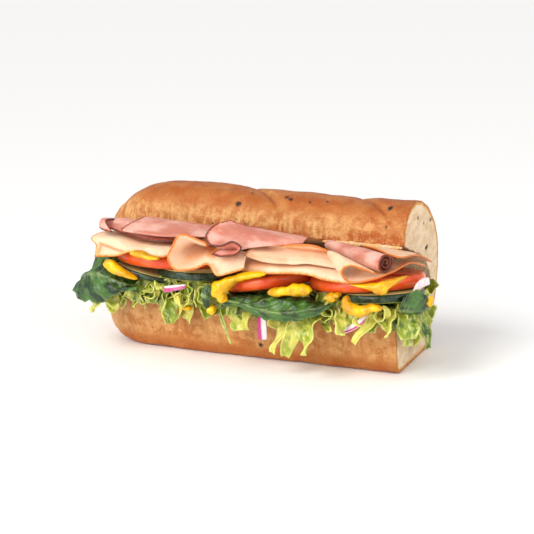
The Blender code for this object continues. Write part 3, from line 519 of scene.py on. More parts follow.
def sheet_body(grid, thick, rimmed=(1, 1, 1, 1)):
    """A thin body along a grid: its points, its faces, and each point's distance to a rimmed edge.

    rimmed says which edges count: first row, last row, first column, last column."""
    rows, columns = grid.shape[:2]
    out = grid_normals(grid) * thick / 2
    cells = np.arange(rows * columns).reshape(rows, columns)
    a, b = cells[:-1, :-1].ravel(), cells[:-1, 1:].ravel()
    c, d = cells[1:, :-1].ravel(), cells[1:, 1:].ravel()
    shift = rows * columns
    faces = np.concatenate([np.stack([a, b, d, c], 1), np.stack([a, c, d, b], 1) + shift])
    loop = np.concatenate([cells[0, :-1], cells[:-1, -1], cells[-1, :0:-1], cells[:0:-1, 0]])
    inner = np.clip(np.stack(np.divmod(loop, columns), 1), 1, (rows - 2, columns - 2))
    edge = grid.reshape(-1, 3)[loop]
    away = edge - grid[inner[:, 0], inner[:, 1]]
    away /= np.maximum(np.linalg.norm(away, axis=1, keepdims=True), 1e-9)
    lip = edge + away * thick * LIP_SHARE
    rim = np.arange(len(loop)) + 2 * shift
    onward = np.roll(np.arange(len(loop)), -1)
    faces = np.concatenate([
        faces, np.stack([loop, rim, rim[onward], loop[onward]], 1),
        np.stack([rim, loop + shift, loop[onward] + shift, rim[onward]], 1),
    ])
    points = np.concatenate([(grid - out).reshape(-1, 3), (grid + out).reshape(-1, 3), lip])
    near = []
    for axis in (0, 1):
        run = np.cumsum(np.linalg.norm(np.diff(grid, axis=axis, prepend=grid.take([0], axis)), axis=-1), axis)
        runs = run, run.max(axis, keepdims=True) - run
        near += [value for value, counts in zip(runs, rimmed[2 * axis:]) if counts]
    near = np.min(near, axis=0).ravel()
    return points, faces.tolist(), np.concatenate([near, near, near[loop] - 0.2])


def strip_grid(start, facing, length, width, bend, twist, lean, seed):
    """A cut strip of leaf that leaves the heap, bends, twists and ruffles at its edges."""
    draw = random.Random(seed)
    turn = math.radians(facing)
    out = np.array([math.sin(turn), -math.cos(turn), 0.0])
    side, up = np.array([math.cos(turn), math.sin(turn), 0.0]), np.array([0.0, 0.0, 1.0])
    rows, columns = 18, 9
    phase, waves = draw.uniform(0, math.tau), draw.uniform(1.4, 2.6)
    place = np.array(start, float) - out * 3.5
    grid = np.zeros((rows, columns, 3))
    for i in range(rows):
        t = i / (rows - 1)
        angle = math.radians(bend[0] + (bend[1] - bend[0]) * t ** 0.7)
        ahead = out * math.sin(angle) - up * math.cos(angle) + side * (lean / length)
        ahead /= np.linalg.norm(ahead)
        place = place + ahead * (length / (rows - 1))
        roll = twist * t * 1.6 + 0.25 * math.sin(3 * t + phase)
        flat = side - ahead * (side @ ahead)
        flat /= np.linalg.norm(flat)
        level = np.cross(ahead, flat)
        cosine, sine = math.cos(roll), math.sin(roll)
        flat, level = flat * cosine + level * sine, level * cosine - flat * sine
        shape = min(1.0, 0.55 + 1.4 * t) * (1 - 1.8 * max(t - 0.75, 0)) * (1 + 0.16 * math.sin(5 * t + phase))
        for j in range(columns):
            s = j / (columns - 1) * 2 - 1
            wave = math.sin(waves * math.tau * t + phase + (1.7 if s > 0 else 0))
            ruffle = width * (0.16 * abs(s) ** 1.5 * wave + 0.12 * s * s)
            grid[i, j] = place + flat * (s * width / 2 * shape) + level * ruffle
    return grid


def joined(bodies):
    """Several bodies, each of points, faces and marks, as one."""
    points, faces, marks, base = [], [], {}, 0
    for body_points, body_faces, body_marks in bodies:
        points.append(body_points)
        faces += [tuple(v + base for v in face) for face in body_faces]
        for key, values in body_marks.items():
            marks.setdefault(key, []).append(values)
        base += len(body_points)
    return np.concatenate(points), faces, {key: np.concatenate(values) for key, values in marks.items()}


draw = random.Random(5)
between = draw.uniform
core = np.zeros((60, 42, 3))
for i, x in enumerate(np.linspace(-66, 77, 60)):
    y = np.concatenate([np.linspace(-36.5, 16, 21), np.linspace(16, -36.5, 21)]) * (0.9 if i in (0, 59) else 1)
    heel = np.interp(y, (-36.5, -30, -10, 8, 16), (24.6, 24.2, 22.8, 23, 24.8))
    roof = np.array([max(stack_floor(x, min(v, 8)) - 3.4, 0) for v in y])
    core[i, :, 0], core[i, :, 1] = x, y
    core[i, :, 2] = np.where(np.arange(42) < 21, heel, np.maximum(roof, heel + 0.9))
points, faces = tube(core)
points[:, 2] += 0.5 * roughly(points, 3.0)
points[:, 1] -= 1.3 * np.clip(roughly(points, 3.4, (4, 4, 4)), -0.2, 1) * (points[:, 1] < -34)
lettuce_bodies = [(points, faces, {
    "rim": np.full(len(points), 3.0), "tone": 0.25 + 0.3 * roughly(points, 5),
})]
strips = [*STRIPS, *CURLS]
for x, z in BACKING:
    strips.append((
        (x, -39, z), draw.gauss(0, 14), between(8, 11), between(6, 9), (between(25, 50), between(-25, 15)),
        between(-0.5, 0.5), draw.gauss(0, 3), between(0.1, 0.6),
    ))
for number in range(FILL_STRIPS):
    if number % 4:
        x = between(-68, 77)
        start = (x, between(-37, -33), between(25, stack_floor(x, -38) - 2.5))
        facing = draw.gauss(0, 18)
    else:
        start = (76, between(-32, 10), between(25, 33))
        facing = 90 + draw.gauss(0, 15)
    strips.append((
        start, facing, between(4.5, 9), between(3, 7), (between(70, 125), between(-110, 60)),
        between(-1.4, 1.4), draw.gauss(0, 5), between(0.05, 0.95),
    ))
for number in range(END_STRIPS):
    strips.append((
        (-63, between(-32, 12), between(24.5, 31.5)), -90 + draw.gauss(0, 16), between(5, 9), between(4, 7),
        (between(75, 125), between(-60, 50)), between(-1, 1), draw.gauss(0, 3), between(0.15, 0.85),
    ))
for number in range(TOP_STRIPS):
    x, y = draw.choice((between(-62, -30), between(50, 74), between(-30, 50))), between(-30, 12)
    strips.append((
        (x, y, max(stack_floor(x, min(y, 8)) - 2.6, 24)), between(0, 360), between(7, 12), between(4, 6),
        (100, between(60, 100)), between(-0.5, 0.5), draw.gauss(0, 3), between(0.15, 0.85),
    ))
for number, (*shape, tone) in enumerate(strips):
    points, faces, near = sheet_body(strip_grid(*shape, number), LEAF_THICK)
    lettuce_bodies.append((points, faces, {"rim": near, "tone": np.full(len(points), tone)}))

leaf = Finish("lettuce_leaf", 0.38, 0.5, (0.35, 0.002, (0.5, 1.0, 0.15)))
tone = leaf.uneven("tone", 4, 0.2)
leaf.tint = leaf.over((60, 92, 22), (136, 150, 36), leaf.ranged(tone, 0.05, 0.5))
leaf.coat((206, 200, 88), leaf.ranged(tone, 0.5, 0.95))
leaf.coat((224, 218, 122), leaf.ranged(leaf.mark("rim"), 0.8, 0.0), 0.4)
leaf.coat((232, 230, 150), leaf.patches(1.6, 0.52, 0.6, (1, 1, 0.35)), 0.4)
leaf.close(leaf.patches(1.2, stretch=(1, 1, 0.5)), 0.12)
points, faces, marks = joined(lettuce_bodies)
points[:, 1] += (1 - FRONT_PRESS) * np.maximum(FRONT_REACH - points[:, 1], 0)
lettuce = make_mesh("lettuce_shreds", points, faces, leaf, **marks)
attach(lettuce, "root")
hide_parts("lettuce")

# The spinach: whole young leaves, dark and glossy, blistered between pale veins. Three hang over the
# front and a small one stands up between the lettuce curls.
# For each leaf: its net, points along and across, where the midrib runs, and how round its outline is
SPINACH = {
    "spinach_left": ((
        ((-75, -39, 22.6), (-66, -42.5, 22.4), (-58, -44.5, 24.6), (-48, -46, 29), (-39, -46.4, 32)),
        ((-79, -35, 26), (-69, -42.6, 28), (-60, -45.6, 30), (-50, -46.4, 32), (-40.5, -45, 33)),
        ((-75, -33, 32), (-68, -39.5, 34), (-60, -43, 35.6), (-51, -43, 34.6), (-42, -41, 32.6)),
        ((-69, -32, 37.5), (-65.5, -36.5, 40.5), (-60.4, -38.5, 41), (-54.4, -37, 38.6), (-44, -34, 33)),
        ((-69, -29, 43.4), (-66.4, -32, 45), (-62.6, -32.4, 45), (-56.6, -32.6, 44.2), (-48, -28, 33)),
    ), 70, 64, 0.5, 0.3),
    "spinach_middle": ((
        ((-4, -43, 26), (7, -45.6, 28.6), (18, -48, 26), (30, -49, 25), (42, -48, 28), (52, -46, 33)),
        ((-1, -43, 29), (8, -47, 31.4), (18, -49, 30), (30, -49.4, 29.6), (41, -48, 32), (53, -44, 35)),
        ((1, -40, 32.4), (10, -43, 33.4), (20, -43.4, 34.4),
         (30, -43.4, 35), (40, -43, 34.6), (51, -40, stack_floor(51, -40) - 1.2)),
        ((3, -30, 31), (12, -30, 32), (20, -30, 33),
         (30, -30, 34), (40, -30, 33), (48, -30, stack_floor(48, -30) - 1.2)),
    ), 54, 84, 0.3, 0.25),
    "spinach_right": ((
        ((78, -30, 30), (82, -29, 29.5), (85.5, -26, 29.5), (88, -21, 30)),
        ((80.4, -38.6, 31.6), (84, -38.6, 31), (88, -34, 31), (90.4, -27, 31.4)),
        ((80.2, -41, 35), (84.4, -41.6, 35), (89.2, -37, 35.2), (92.2, -29.4, 35.2)),
        ((81, -40.6, 39.6), (85, -40.2, 41.4), (89.2, -35.6, 41.6), (91.2, -28.6, 39.8)),
    ), 40, 40, 0.5, 0.85),
    "spinach_small": ((
        ((-8.6, -43.4, 26.6), (-7.2, -43.8, 26.2), (-5.8, -43.4, 26.8)),
        ((-9.6, -44.4, 31.5), (-7.2, -45, 31.5), (-5, -44.4, 31.8)),
        ((-9.4, -42.8, 36.6), (-7, -43.2, 37.2), (-4.8, -42.8, 36.4)),
    ), 30, 20, 0.5, 0.6),
}


def rounded(grid, much):
    """A grid with its corners drawn in, as the outline of a leaf is round."""
    rows, columns = grid.shape[:2]
    u, v = np.linspace(-1, 1, rows)[:, None], np.linspace(-1, 1, columns)[None]
    row = (u * np.sqrt(1 - much * v * v / 2) + 1) / 2 * (rows - 1)
    column = (v * np.sqrt(1 - much * u * u / 2) + 1) / 2 * (columns - 1)
    i, j = np.minimum(row.astype(int), rows - 2), np.minimum(column.astype(int), columns - 2)
    p, q = (row - i)[..., None], (column - j)[..., None]
    near = grid[i, j] * (1 - p) + grid[i + 1, j] * p
    far = grid[i, j + 1] * (1 - p) + grid[i + 1, j + 1] * p
    return near * (1 - q) + far * q


def net_grid(net, along, across):
    """A fine grid through a net of control points."""
    net = np.array(net, float)
    return np.einsum("ip,pqk,jq->ijk", shares(net.shape[0], along), net, shares(net.shape[1], across))


def both_faces(values, near, rest=0.0):
    """A value of a sheet's grid at all the points of its body: on both faces, and rest along the lip."""
    return np.concatenate([values.ravel(), values.ravel(), np.full(len(near) - 2 * values.size, rest)])


spinach = Finish("spinach_leaf", 0.34, 0.5, (0.12, 0.001, (0.3, 0.8, 0.1)))
# Painted light and shade: lighter on the swells of the blisters, darker in the hollows between them
tone = spinach.ranged(spinach.uneven("swell_light_mask", 6, 0.25), 0.0, 1.0)
spinach.tint = spinach.over((16, 44, 14), (66, 108, 38), tone)
spinach.coat((136, 162, 88), spinach.mark("vein"), spinach.patches(5, 0.35, 0.65))
spinach.coat((110, 142, 62), spinach.ranged(spinach.mark("rim"), 0.8, 0.0), 0.5)
spinach.close(spinach.patches(0.7), 0.06, spinach.ranged(spinach.patches(2), 0, 1, 0.28, 0.45))
for name, (net, along, across, midrib, round_share) in SPINACH.items():
    grid = rounded(net_grid(net, along, across), round_share)
    u = np.linspace(0, 1, along)[:, None]
    v = np.linspace(0, 1, across)[None]
    lane = u - midrib - 0.06 * np.sin(3 * v + 1)
    reach_mm = np.linalg.norm(grid[0] - grid[-1], axis=-1).mean()
    rib = np.exp(-(lane * reach_mm / 0.8) ** 2) * (1 - 0.5 * v)
    phase = (v * 6.5 - np.abs(lane) * 3.2) % 1.0
    branch = np.exp(-(np.minimum(phase, 1 - phase) / 0.07) ** 2) * 0.6
    vein = np.clip(rib + branch * (np.abs(lane) > 0.02), 0, 1)
    swell = np.clip(0.5 + 0.8 * roughly(grid, 5.0, (6, 6, 1)), 0, 1) * (1 - 0.7 * vein)
    grid = grid + grid_normals(grid) * (1.5 * swell - 0.4 * rib)[..., None]
    edge = np.minimum(np.minimum(u, 1 - u), np.minimum(v, 1 - v))
    wobble = roughly(grid, 7.0, (1, 5, 5)) * (1 - smooth_step(0.0, 0.25, edge))
    grid[..., 2] += 1.3 * wobble
    points, faces, near = sheet_body(grid, LEAF_THICK)
    marks = {"rim": near, "vein": both_faces(vein, near), "swell_light_mask": both_faces(swell, near)}
    whole_leaf = make_mesh(name + "_leaf", points, faces, spinach, **marks)
    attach(whole_leaf, "root")
    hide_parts(name)

# The onion: thin slivers of red onion, magenta along the outer skin and white inside, tucked among
# the greens and at the end of the right tomato.
ONION = {
    "onion_left": (((-29, -41.4, 31.2), (-24, -41.6, 32.4), (-19.2, -41, 33.8)),
                   ((-29, -40.4, 33.4), (-24, -40.6, 34.4), (-19.2, -40, 35))),
    "onion_strip": (((15.6, -38.8, 13.6), (17.5, -39.1, 13.6), (19.4, -38.8, 13.8)),
                    ((15.7, -39.6, 18.4), (17.6, -39.9, 18.4), (19.5, -39.6, 18.4)),
                    ((15.8, -40.6, 24), (17.7, -40.9, 24), (19.6, -40.6, 24))),
    "onion_curve": (((54.5, -40.8, 20.6), (59, -41.6, 22.4), (63.6, -41.6, 25.4), (67, -40.2, 28.8)),
                    ((54, -40, 22), (58, -40.8, 24.2), (62.2, -40.8, 27.2), (65.6, -39.6, 30.2))),
    "onion_end": (((85.4, -37.4, 38.8), (86.2, -32, 41), (87, -26, 41.2), (87.4, -20, 40.6)),
                  ((85.2, -37, 40.6), (85.6, -32.6, 43.4), (86.6, -27, 44.6), (87.2, -20.6, 43.6))),
    "onion_drop": (((77.4, 6.4, 19.4), (77.9, 8, 18.6), (77.6, 9.8, 18.4)),
                   ((77.8, 6.4, 22.6), (78.2, 8, 22.4), (78, 9.8, 22))),
}
ONION_THICK = 1.0
# How much of each sliver is magenta skin: from which share across it, and whether along or across
ONION_SKIN = {
    "onion_left": (0.62, 0), "onion_strip": (0.5, 1), "onion_curve": (0.3, 0),
    "onion_end": (0.0, 0), "onion_drop": (1.0, 0),
}

onion = Finish("onion_flesh", 0.25, 0.5, (0.3, 0.002, (1.0, 0.6, 0.8)))
onion.tint = onion.over((246, 236, 232), (236, 216, 222), onion.patches(1.5, 0.35, 0.65, (1, 1, 0.3)))
onion.coat((192, 54, 126), onion.mark("skin"))
onion.close(onion.patches(0.9, stretch=(1, 1, 0.3)), 0.05)
for name, net in ONION.items():
    grid = net_grid(net, 24, 24)
    share, axis = ONION_SKIN[name]
    spread = np.linspace(0, 1, 24).reshape((24, 1) if axis == 0 else (1, 24)) + 0.06 * roughly(grid, 3.0)
    skin = 1 - smooth_step(share - 0.12, share + 0.12, spread)
    points, faces, near = sheet_body(grid, ONION_THICK)
    skin = both_faces(skin, near, 0.6 if share > 0.4 else 0.0)
    sliver = make_mesh(name + "_sliver", points, faces, onion, skin=skin)
    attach(sliver, "root")
    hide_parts(name)

# The cucumber and the tomato: round slices laid along the front, cucumber below, tomato above. Each
# has a rounded rim of skin, and flesh with seeds inside.
# For each slice: its middle (x, y), radius, base, lean along x and, for cucumber, how thick it is
CUCUMBERS = {
    "cucumber_left": ((-41.5, -22), 19, 35.8, -0.2, 3.2),
    "cucumber_middle": ((-20, -23.5), 18.4, 37.2, 0.02, 4.2),
    "cucumber_right": ((67, -24), 19.5, 35.4, 0.1, 4.0),
}
TOMATOES = {
    "tomato_left": ((-37, -17.6), 25, 41.7, -0.03), "tomato_middle": ((13.7, -21.2), 20.3, 35.7, 0.19),
    "tomato_right": ((58.5, -17.5), 25.5, 39.2, 0.1),
}
TOMATO_THICK = 5.8


def round_slice(centre, radius, base, lean, thick, sides, inner):
    """A round slice: its points and faces, each point's share of the radius, and its turn."""
    bevel = np.linspace(0, 1, 9)
    rim_out = 0.93 + 0.07 * np.sin(bevel * math.pi) ** 0.6
    reaches = np.concatenate([np.linspace(0.06, 0.9, inner), rim_out, np.linspace(0.9, 0.06, inner)])
    ups = np.concatenate([np.zeros(inner), bevel, np.ones(inner)])
    turn = math.tau * np.arange(sides) / sides
    far = radius * reaches[:, None] * (1 + 0.015 * np.sin(3 * turn + centre[0]))[None]
    x, y = centre[0] + far * np.cos(turn), centre[1] + far * np.sin(turn)
    z = base + lean * (x - centre[0]) + STACK_LEAN * (y - STACK_FRONT) + thick * ups[:, None]
    points, faces = tube(np.stack([x, y, z], -1))
    turns = np.append(np.tile(turn, len(reaches)), [0, 0])
    kinds = ((reaches, (0, 0)), (np.sin(ups * math.pi) ** 0.5, (0, 0)), (ups, (0, 1)))
    out, side, upper = (np.append(np.repeat(values, sides), ends) for values, ends in kinds)
    return points, faces, out, turns, side, upper


cucumber = Finish("cucumber_flesh", 0.28, 0.5, (0.15, 0.002, (0.6, 1.0, 0.3)))
flesh = cucumber.over((216, 220, 150), (214, 214, 130), cucumber.ranged(cucumber.mark("out"), 0.55, 0.9))
flesh = cucumber.over(flesh, (236, 232, 190), cucumber.mark("seed"))
peel = cucumber.over((20, 42, 26), (46, 70, 44), cucumber.patches(2.4, 0.4, 0.7, (1, 1, 0.3)))
peel = cucumber.over(peel, (98, 116, 78), cucumber.patches(0.7, 0.58, 0.66), 0.6)
cucumber.tint = cucumber.over(flesh, peel, cucumber.ranged(cucumber.mark("peel"), 0.15, 0.4))
cucumber.close(cucumber.patches(1.0), 0.08)
for name, (centre, radius, base, lean, thick) in CUCUMBERS.items():
    points, faces, out, turn, side, upper = round_slice(centre, radius, base, lean, thick, 140, 16)
    ring_of_seeds = np.exp(-((out - 0.42) / 0.14) ** 2) * np.clip(np.cos(turn * 9 + 2 * out), 0, 1) ** 2
    points[:, 2] += np.where(upper > 0.5, 1, -1) * (0.25 * ring_of_seeds - 0.15 * (out < 0.6)) * (side < 0.1)
    marks = {"out": out, "seed": ring_of_seeds * 0.7, "peel": side * (out > 0.9)}
    disc = make_mesh(name + "_slice", points, faces, cucumber, **marks)
    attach(disc, "root")
    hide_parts(name)

tomato = Finish("tomato_flesh", 0.2, 0.6, (0.16, 0.003, (1.0, 0.25, 0.1)))
flesh = tomato.over((230, 84, 40), (238, 114, 62), tomato.patches(3, 0.35, 0.65))
flesh = tomato.over(flesh, (200, 60, 28), tomato.mark("pocket"))
flesh = tomato.over(flesh, (238, 190, 110), tomato.mark("seed"))
peel = tomato.over((232, 76, 22), (244, 104, 42), tomato.patches(6, 0.35, 0.65))
peel = tomato.over(peel, (248, 134, 76), tomato.patches(0.8, 0.6, 0.68), 0.2)
tomato.tint = tomato.over(flesh, peel, tomato.ranged(tomato.mark("peel"), 0.15, 0.55))
tomato.close(tomato.patches(3), 0.01, tomato.ranged(tomato.patches(1.5, 0.4, 0.6), 0, 1, 0.2, 0.26))
for name, (centre, radius, base, lean) in TOMATOES.items():
    points, faces, out, turn, side, upper = round_slice(centre, radius, base, lean, TOMATO_THICK, 170, 22)
    pocket = smooth_step(0.1, 0.5, np.cos(turn * 5 + centre[0])) * np.exp(-((out - 0.58) / 0.2) ** 4)
    seed = pocket * smooth_step(0.35, 0.6, roughly(points, 2.2, (9, 0, 2)))
    face = side < 0.1
    points[:, 2] -= np.where(upper > 0.5, 1, -1) * 0.7 * (pocket - seed) * face
    marks = {"pocket": pocket * face, "seed": seed * face, "peel": side * (out > 0.9)}
    disc = make_mesh(name + "_slice", points, faces, tomato, **marks)
    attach(disc, "root")
    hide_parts(name)

# The turkey and the ham: thin slices that droop, fold and roll over the vegetables. Turkey is pale
# with a roasted orange edge; ham is pink with a dark smoked edge.
# For each slice: its net, points along and across, and which edges show a rim
TURKEY = {
    "turkey_left": ((
        ((-62, -43.5, 45), (-50, -44.5, 46.6), (-44, -44.5, 48.8),
         (-34, -45, 48), (-28, -44.5, 48), (-23.5, -43, 49.6)),
        ((-62.5, -41, 49.6), (-51, -43.6, 50.2), (-44, -43, 51.2),
         (-34, -43, 51.2), (-28, -42, 51.4), (-23.5, -40.6, 51.6)),
        ((-65.5, -39.5, 52.6), (-54, -40.5, 54), (-44, -40, 52.8),
         (-34, -40, 52.2), (-28, -39.5, 52.2), (-23, -38, 52)),
        ((-60.5, -33, 54.6), (-52, -33, 53.6), (-43, -33, 52.8),
         (-34, -33, 52.2), (-28, -33, 51.8), (-21, -32, 51.2)),
        ((-58, -18, 50.6), (-50, -18, 50.4), (-42, -18, 50.2),
         (-34, -18, 50), (-27, -18, 49.8), (-18, -18, 49.6)),
        ((-55, 3, 45.4), (-48, 4, 45), (-41, 4, 44.8), (-34, 4, 44.8), (-26, 4, 44.8), (-18, 3, 44.8)),
    ), 80, 60, (1, 0, 1, 0)),
    "turkey_fold": ((
        ((-7, -44, 56.2), (-18.5, -45, 59.2), (-22.2, -47.5, 53.5), (-23.4, -49, 48.5), (-19.5, -49.5, 44),
         (-11.5, -48.5, 44.8), (-5, -47.5, 47.4), (-0.5, -48.5, 43.2), (5, -47.5, 44.2), (11, -45.5, 46.2)),
        ((-7.5, -41, 54), (-15, -40.4, 55), (-18.6, -40, 52.2), (-19, -40, 49.6), (-16.6, -41, 47.8),
         (-12, -42.4, 48.2), (-6, -44, 50.4), (-0.5, -45.5, 49.6), (5, -45, 50), (11, -43.5, 50.2)),
        ((-7, -32, 55), (-11, -31, 55.2), (-13.4, -30, 54.6), (-13.6, -30, 52.8), (-11.6, -31, 51.6),
         (-9, -33, 51.4), (-5, -36, 52), (0, -38, 52.3), (5, -38, 52.2), (10, -38, 52)),
    ), 40, 120, (1, 0, 1, 0)),
    "turkey_upper": ((
        ((11.5, -33, 53.2), (22, -33, 52.6), (32, -33, 52), (42, -33, 52), (53, -33, 50.6)),
        ((10.5, -41, 51.4), (20, -43, 50), (32, -44, 50.3), (41, -43.4, 51), (53, -41, 49.6)),
        ((12, -41, 54), (22, -42, 52.8), (32, -42.4, 52.4), (41, -41.6, 53), (52, -39.5, 52)),
        ((17, -36, 54.8), (24, -36, 54.2), (32, -36, 54), (41, -36, 54.4), (49.6, -34.6, 54)),
        ((20.5, -37.6, 56.2), (26, -38.8, 56.8), (33, -39.6, 57.8), (41, -39.4, 58.2), (48.4, -38.6, 55.8)),
    ), 60, 60, (0, 1, 1, 0)),
    "turkey_lower": ((
        ((8.5, -41, 44.2), (22, -43.5, 44.8), (32, -44.5, 46),
         (41, -45, 46.3), (48, -45, 44.8), (60, -44.4, 43.8)),
        ((8, -39.5, 47), (21, -42, 47.6), (32, -43, 48.4), (41, -43.4, 49), (48, -43.2, 48), (58, -42, 46.8)),
        ((9, -33, 49), (21, -33, 49.6), (32, -33, 50), (41, -33, 50), (47, -33, 49.6), (56, -33, 49)),
        ((12, -16, 47), (21, -16, 47.4), (32, -16, 48), (41, -16, 48), (47, -16, 48), (55, -16, 48)),
        ((12, 4, 42.4), (21, 5, 42.6), (32, 5, 43), (41, 5, 43.4), (47, 5, 43.6), (55, 4, 43.8)),
    ), 70, 60, (1, 0, 0, 0)),
    "turkey_cone": ((
        ((72, -45, 49.4), (66, -47.5, 52), (60.5, -48, 52.8), (57.2, -48, 49.8), (60, -48, 46),
         (66, -48, 46.3), (72, -46.5, 48), (78, -41, 50.4), (81.5, -29, 51.8), (84, -14, 46.6)),
        ((70.5, -45.6, 50.4), (62, -46, 53.6), (54.8, -44.8, 54.8), (53, -43.5, 50.4), (57, -43, 47),
         (64, -42, 47), (70, -40, 48), (76, -34, 49.6), (79, -22, 50), (82, -9, 46)),
        ((67, -44.4, 51.4), (56.6, -43, 55), (48.6, -40.6, 56.6), (49.4, -39, 52.4), (54, -36, 49.4),
         (62, -34, 49), (68, -30, 49.2), (72, -24, 49), (75, -12, 48), (77, -2, 45.4)),
    ), 40, 140, (1, 0, 1, 0)),
    "turkey_back": ((
        ((61, -29.4, 57.4), (67, -33, 57.6), (73, -36, 56.6), (79, -37, 55.6), (82, -26, 54.4)),
        ((60, -24, 56), (67, -24, 55.8), (73, -24, 55.4), (78, -24, 54.8), (82, -20, 53)),
        ((56, -14, 52.4), (66, -14, 52.6), (73, -14, 52.4), (78, -14, 52.2), (82, -13, 51.2)),
        ((56, 6, 44.6), (66, 7, 44.4), (73, 8, 44.2), (78, 8, 44), (81, 6, 44)),
    ), 56, 40, (1, 0, 0, 1)),
}
HAM = {
    "ham_loop": ((
        ((-53, -43.5, 57), (-58.5, -42, 57.4), (-61.3, -39, 57.6), (-58, -37, 57),
         (-51, -39.5, 56.4), (-40, -43, 55.2), (-30, -43, 54.8), (-19, -40, 55.4)),
        ((-55.5, -41.5, 58.8), (-59.8, -40, 59.2), (-62, -37.4, 59.2), (-59, -35.4, 58.8),
         (-51, -35.6, 58.6), (-40, -36, 57.2), (-30, -36, 56.4), (-19, -36, 56.4)),
        ((-58, -38.6, 61), (-60.6, -37, 61.2), (-61.4, -35, 60.8), (-58.8, -33.4, 60.6),
         (-51, -32, 60.8), (-40, -31, 58.8), (-30, -31, 57.6), (-19, -31, 57)),
        ((-55, -30, 59.6), (-57.5, -29, 59.4), (-58, -27, 58), (-55, -25.5, 57),
         (-50, -24, 56.6), (-40, -24, 55.6), (-30, -24, 55), (-20, -24, 54.8)),
        ((-52, -14, 52.6), (-54, -13.6, 52.4), (-55, -13, 51.6), (-53, -12.4, 51.2),
         (-49, -12, 51), (-40, -12, 51), (-30, -12, 51), (-22, -12, 51)),
    ), 70, 100, (1, 0, 1, 0)),
    "ham_flap": ((
        ((-47.4, -39.2, 58.6), (-39.5, -40.2, 58.2), (-30, -40.2, 57.6),
         (-21, -39.4, 57.7), (-9, -37.8, 58.4)),
        ((-49.5, -41.6, 58), (-40, -43.6, 57.8), (-30, -43.6, 57.4), (-21, -42.6, 57.6), (-8.5, -41, 58.4)),
        ((-46.5, -38.4, 60.4), (-39, -39.6, 60.4), (-30, -39.4, 59.8), (-21, -38.6, 59.6), (-9, -37.4, 60)),
        ((-42, -33.6, 62.6), (-36, -33.4, 62.4), (-29, -33, 62), (-20, -32.4, 61.4), (-9, -31.8, 61)),
        ((-42, -26.5, 61), (-36, -26.5, 60.4), (-29, -26.5, 59.8), (-20, -26.5, 59), (-9, -26.5, 58.6)),
    ), 40, 70, (0, 0, 1, 0)),
    "ham_curl": ((
        ((2, -38, 65.6), (-3, -43.4, 64.4), (-5.8, -47, 60.4), (-3, -49.8, 57.2), (2.5, -50.4, 57.2),
         (8, -50.4, 59.4), (12, -50.6, 57), (9, -50.8, 53.6), (3, -51, 52.4), (-1.5, -50.6, 53)),
        ((12, -34.6, 62.6), (10, -39, 62), (8.5, -43, 60.2), (5.6, -46.4, 56), (6.5, -46, 55.5),
         (9, -45.4, 55.6), (10.4, -45, 55.2), (8.6, -45.2, 54.8), (5, -45.8, 54.6), (1.2, -46.6, 54.4)),
        ((36, -31.6, 59.6), (36, -33.4, 59.6), (35.8, -35.4, 59.2), (35.4, -36.6, 58.4), (34.6, -36, 57.9),
         (33, -34.2, 58), (28, -33, 58.4), (24, -33, 58.4), (19, -34, 57.8), (15, -35, 57.2)),
    ), 60, 120, (1, 0, 1, 1)),
}
ROLL_START, ROLL_END = np.array((43.5, -27.0, 56.2)), np.array((75.0, -43.4, 54.4))
MEAT_THICK = 0.75
# Shade painted into the turkey where it folds and where one layer lies over another: from (x, z) to (x, z),
# half width and strength
SHADED_FOLDS = {
    "turkey_left": (((-60, 50.8), (-45, 48.4), 0.6, 0.9), ((-60.8, 45.6), (-59.6, 50), 0.9, 0.8)),
    "turkey_fold": (
        ((-11, 52.4), (-3, 51.4), 1.5, 1.0), ((-16, 48), (-10, 51), 2.6, 0.5),
        ((-3, 51.4), (7, 51.2), 1.0, 0.5), ((-2.8, 47), (-0.2, 44.6), 1.3, 0.7),
    ),
    "turkey_upper": (((14, 52), (30, 51.4), 1.2, 0.4), ((29, 55.7), (46, 55), 0.8, 0.75)),
    "turkey_lower": (((11, 47), (19, 49), 3.0, 0.6),),
    "turkey_cone": (((59, 49.5), (61, 48), 1.6, 0.35),),
}
# Behind this no shade is painted
SHADE_BACK_LIMIT = -28


def rolled_ham_grid(rows, columns):
    """A slice wound into a slim cone that widens towards the cut end."""
    ahead = (ROLL_END - ROLL_START) / np.linalg.norm(ROLL_END - ROLL_START)
    side = np.cross(ahead, (0, 0, 1))
    side /= np.linalg.norm(side)
    up = np.cross(side, ahead)
    t = np.linspace(0, 1, rows)[:, None, None]
    middle = ROLL_START + (ROLL_END - ROLL_START) * t
    radius = 1.3 + 2.3 * np.sin(np.minimum(t * 1.25, 1) * math.pi / 2)
    turn = np.radians(-500 + 790 * np.linspace(0, 1, columns))[None, :, None]
    far = 0.9 + (radius - 0.1) * np.linspace(0, 1, columns)[None, :, None]
    return middle + side * far * np.sin(turn) + up * far * np.cos(turn)


def meat_piece(name, grid, rimmed, finish, wound=False):
    """One slice: its grid made a little wavy, and its body. A wound slice has painted shade on its inner face.
    """
    grid = grid + grid_normals(grid) * (0.22 * roughly(grid, 8.0, (2, 7, 1)))[..., None]
    points, faces, near = sheet_body(grid, MEAT_THICK, rimmed)
    x, y, z = points.T
    # Painted shade along the listed folds, and over all of a wound slice's inner face
    crease = np.zeros(len(points))
    for (x0, z0), (x1, z1), half_width, strength in SHADED_FOLDS.get(name, ()):
        wide, tall = x1 - x0, z1 - z0
        along = np.clip(((x - x0) * wide + (z - z0) * tall) / (wide ** 2 + tall ** 2), 0, 1)
        away = np.hypot(x - x0 - along * wide, z - z0 - along * tall)
        crease = np.maximum(crease, strength * np.exp(-(away / half_width) ** 2) * (y < SHADE_BACK_LIMIT))
    if wound:
        one_face = grid.shape[0] * grid.shape[1]
        crease[one_face:2 * one_face] = 1
    slice_made = make_mesh(name + "_slice", points, faces, finish, rim=near, crease=crease)
    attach(slice_made, "root")
    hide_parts(name)


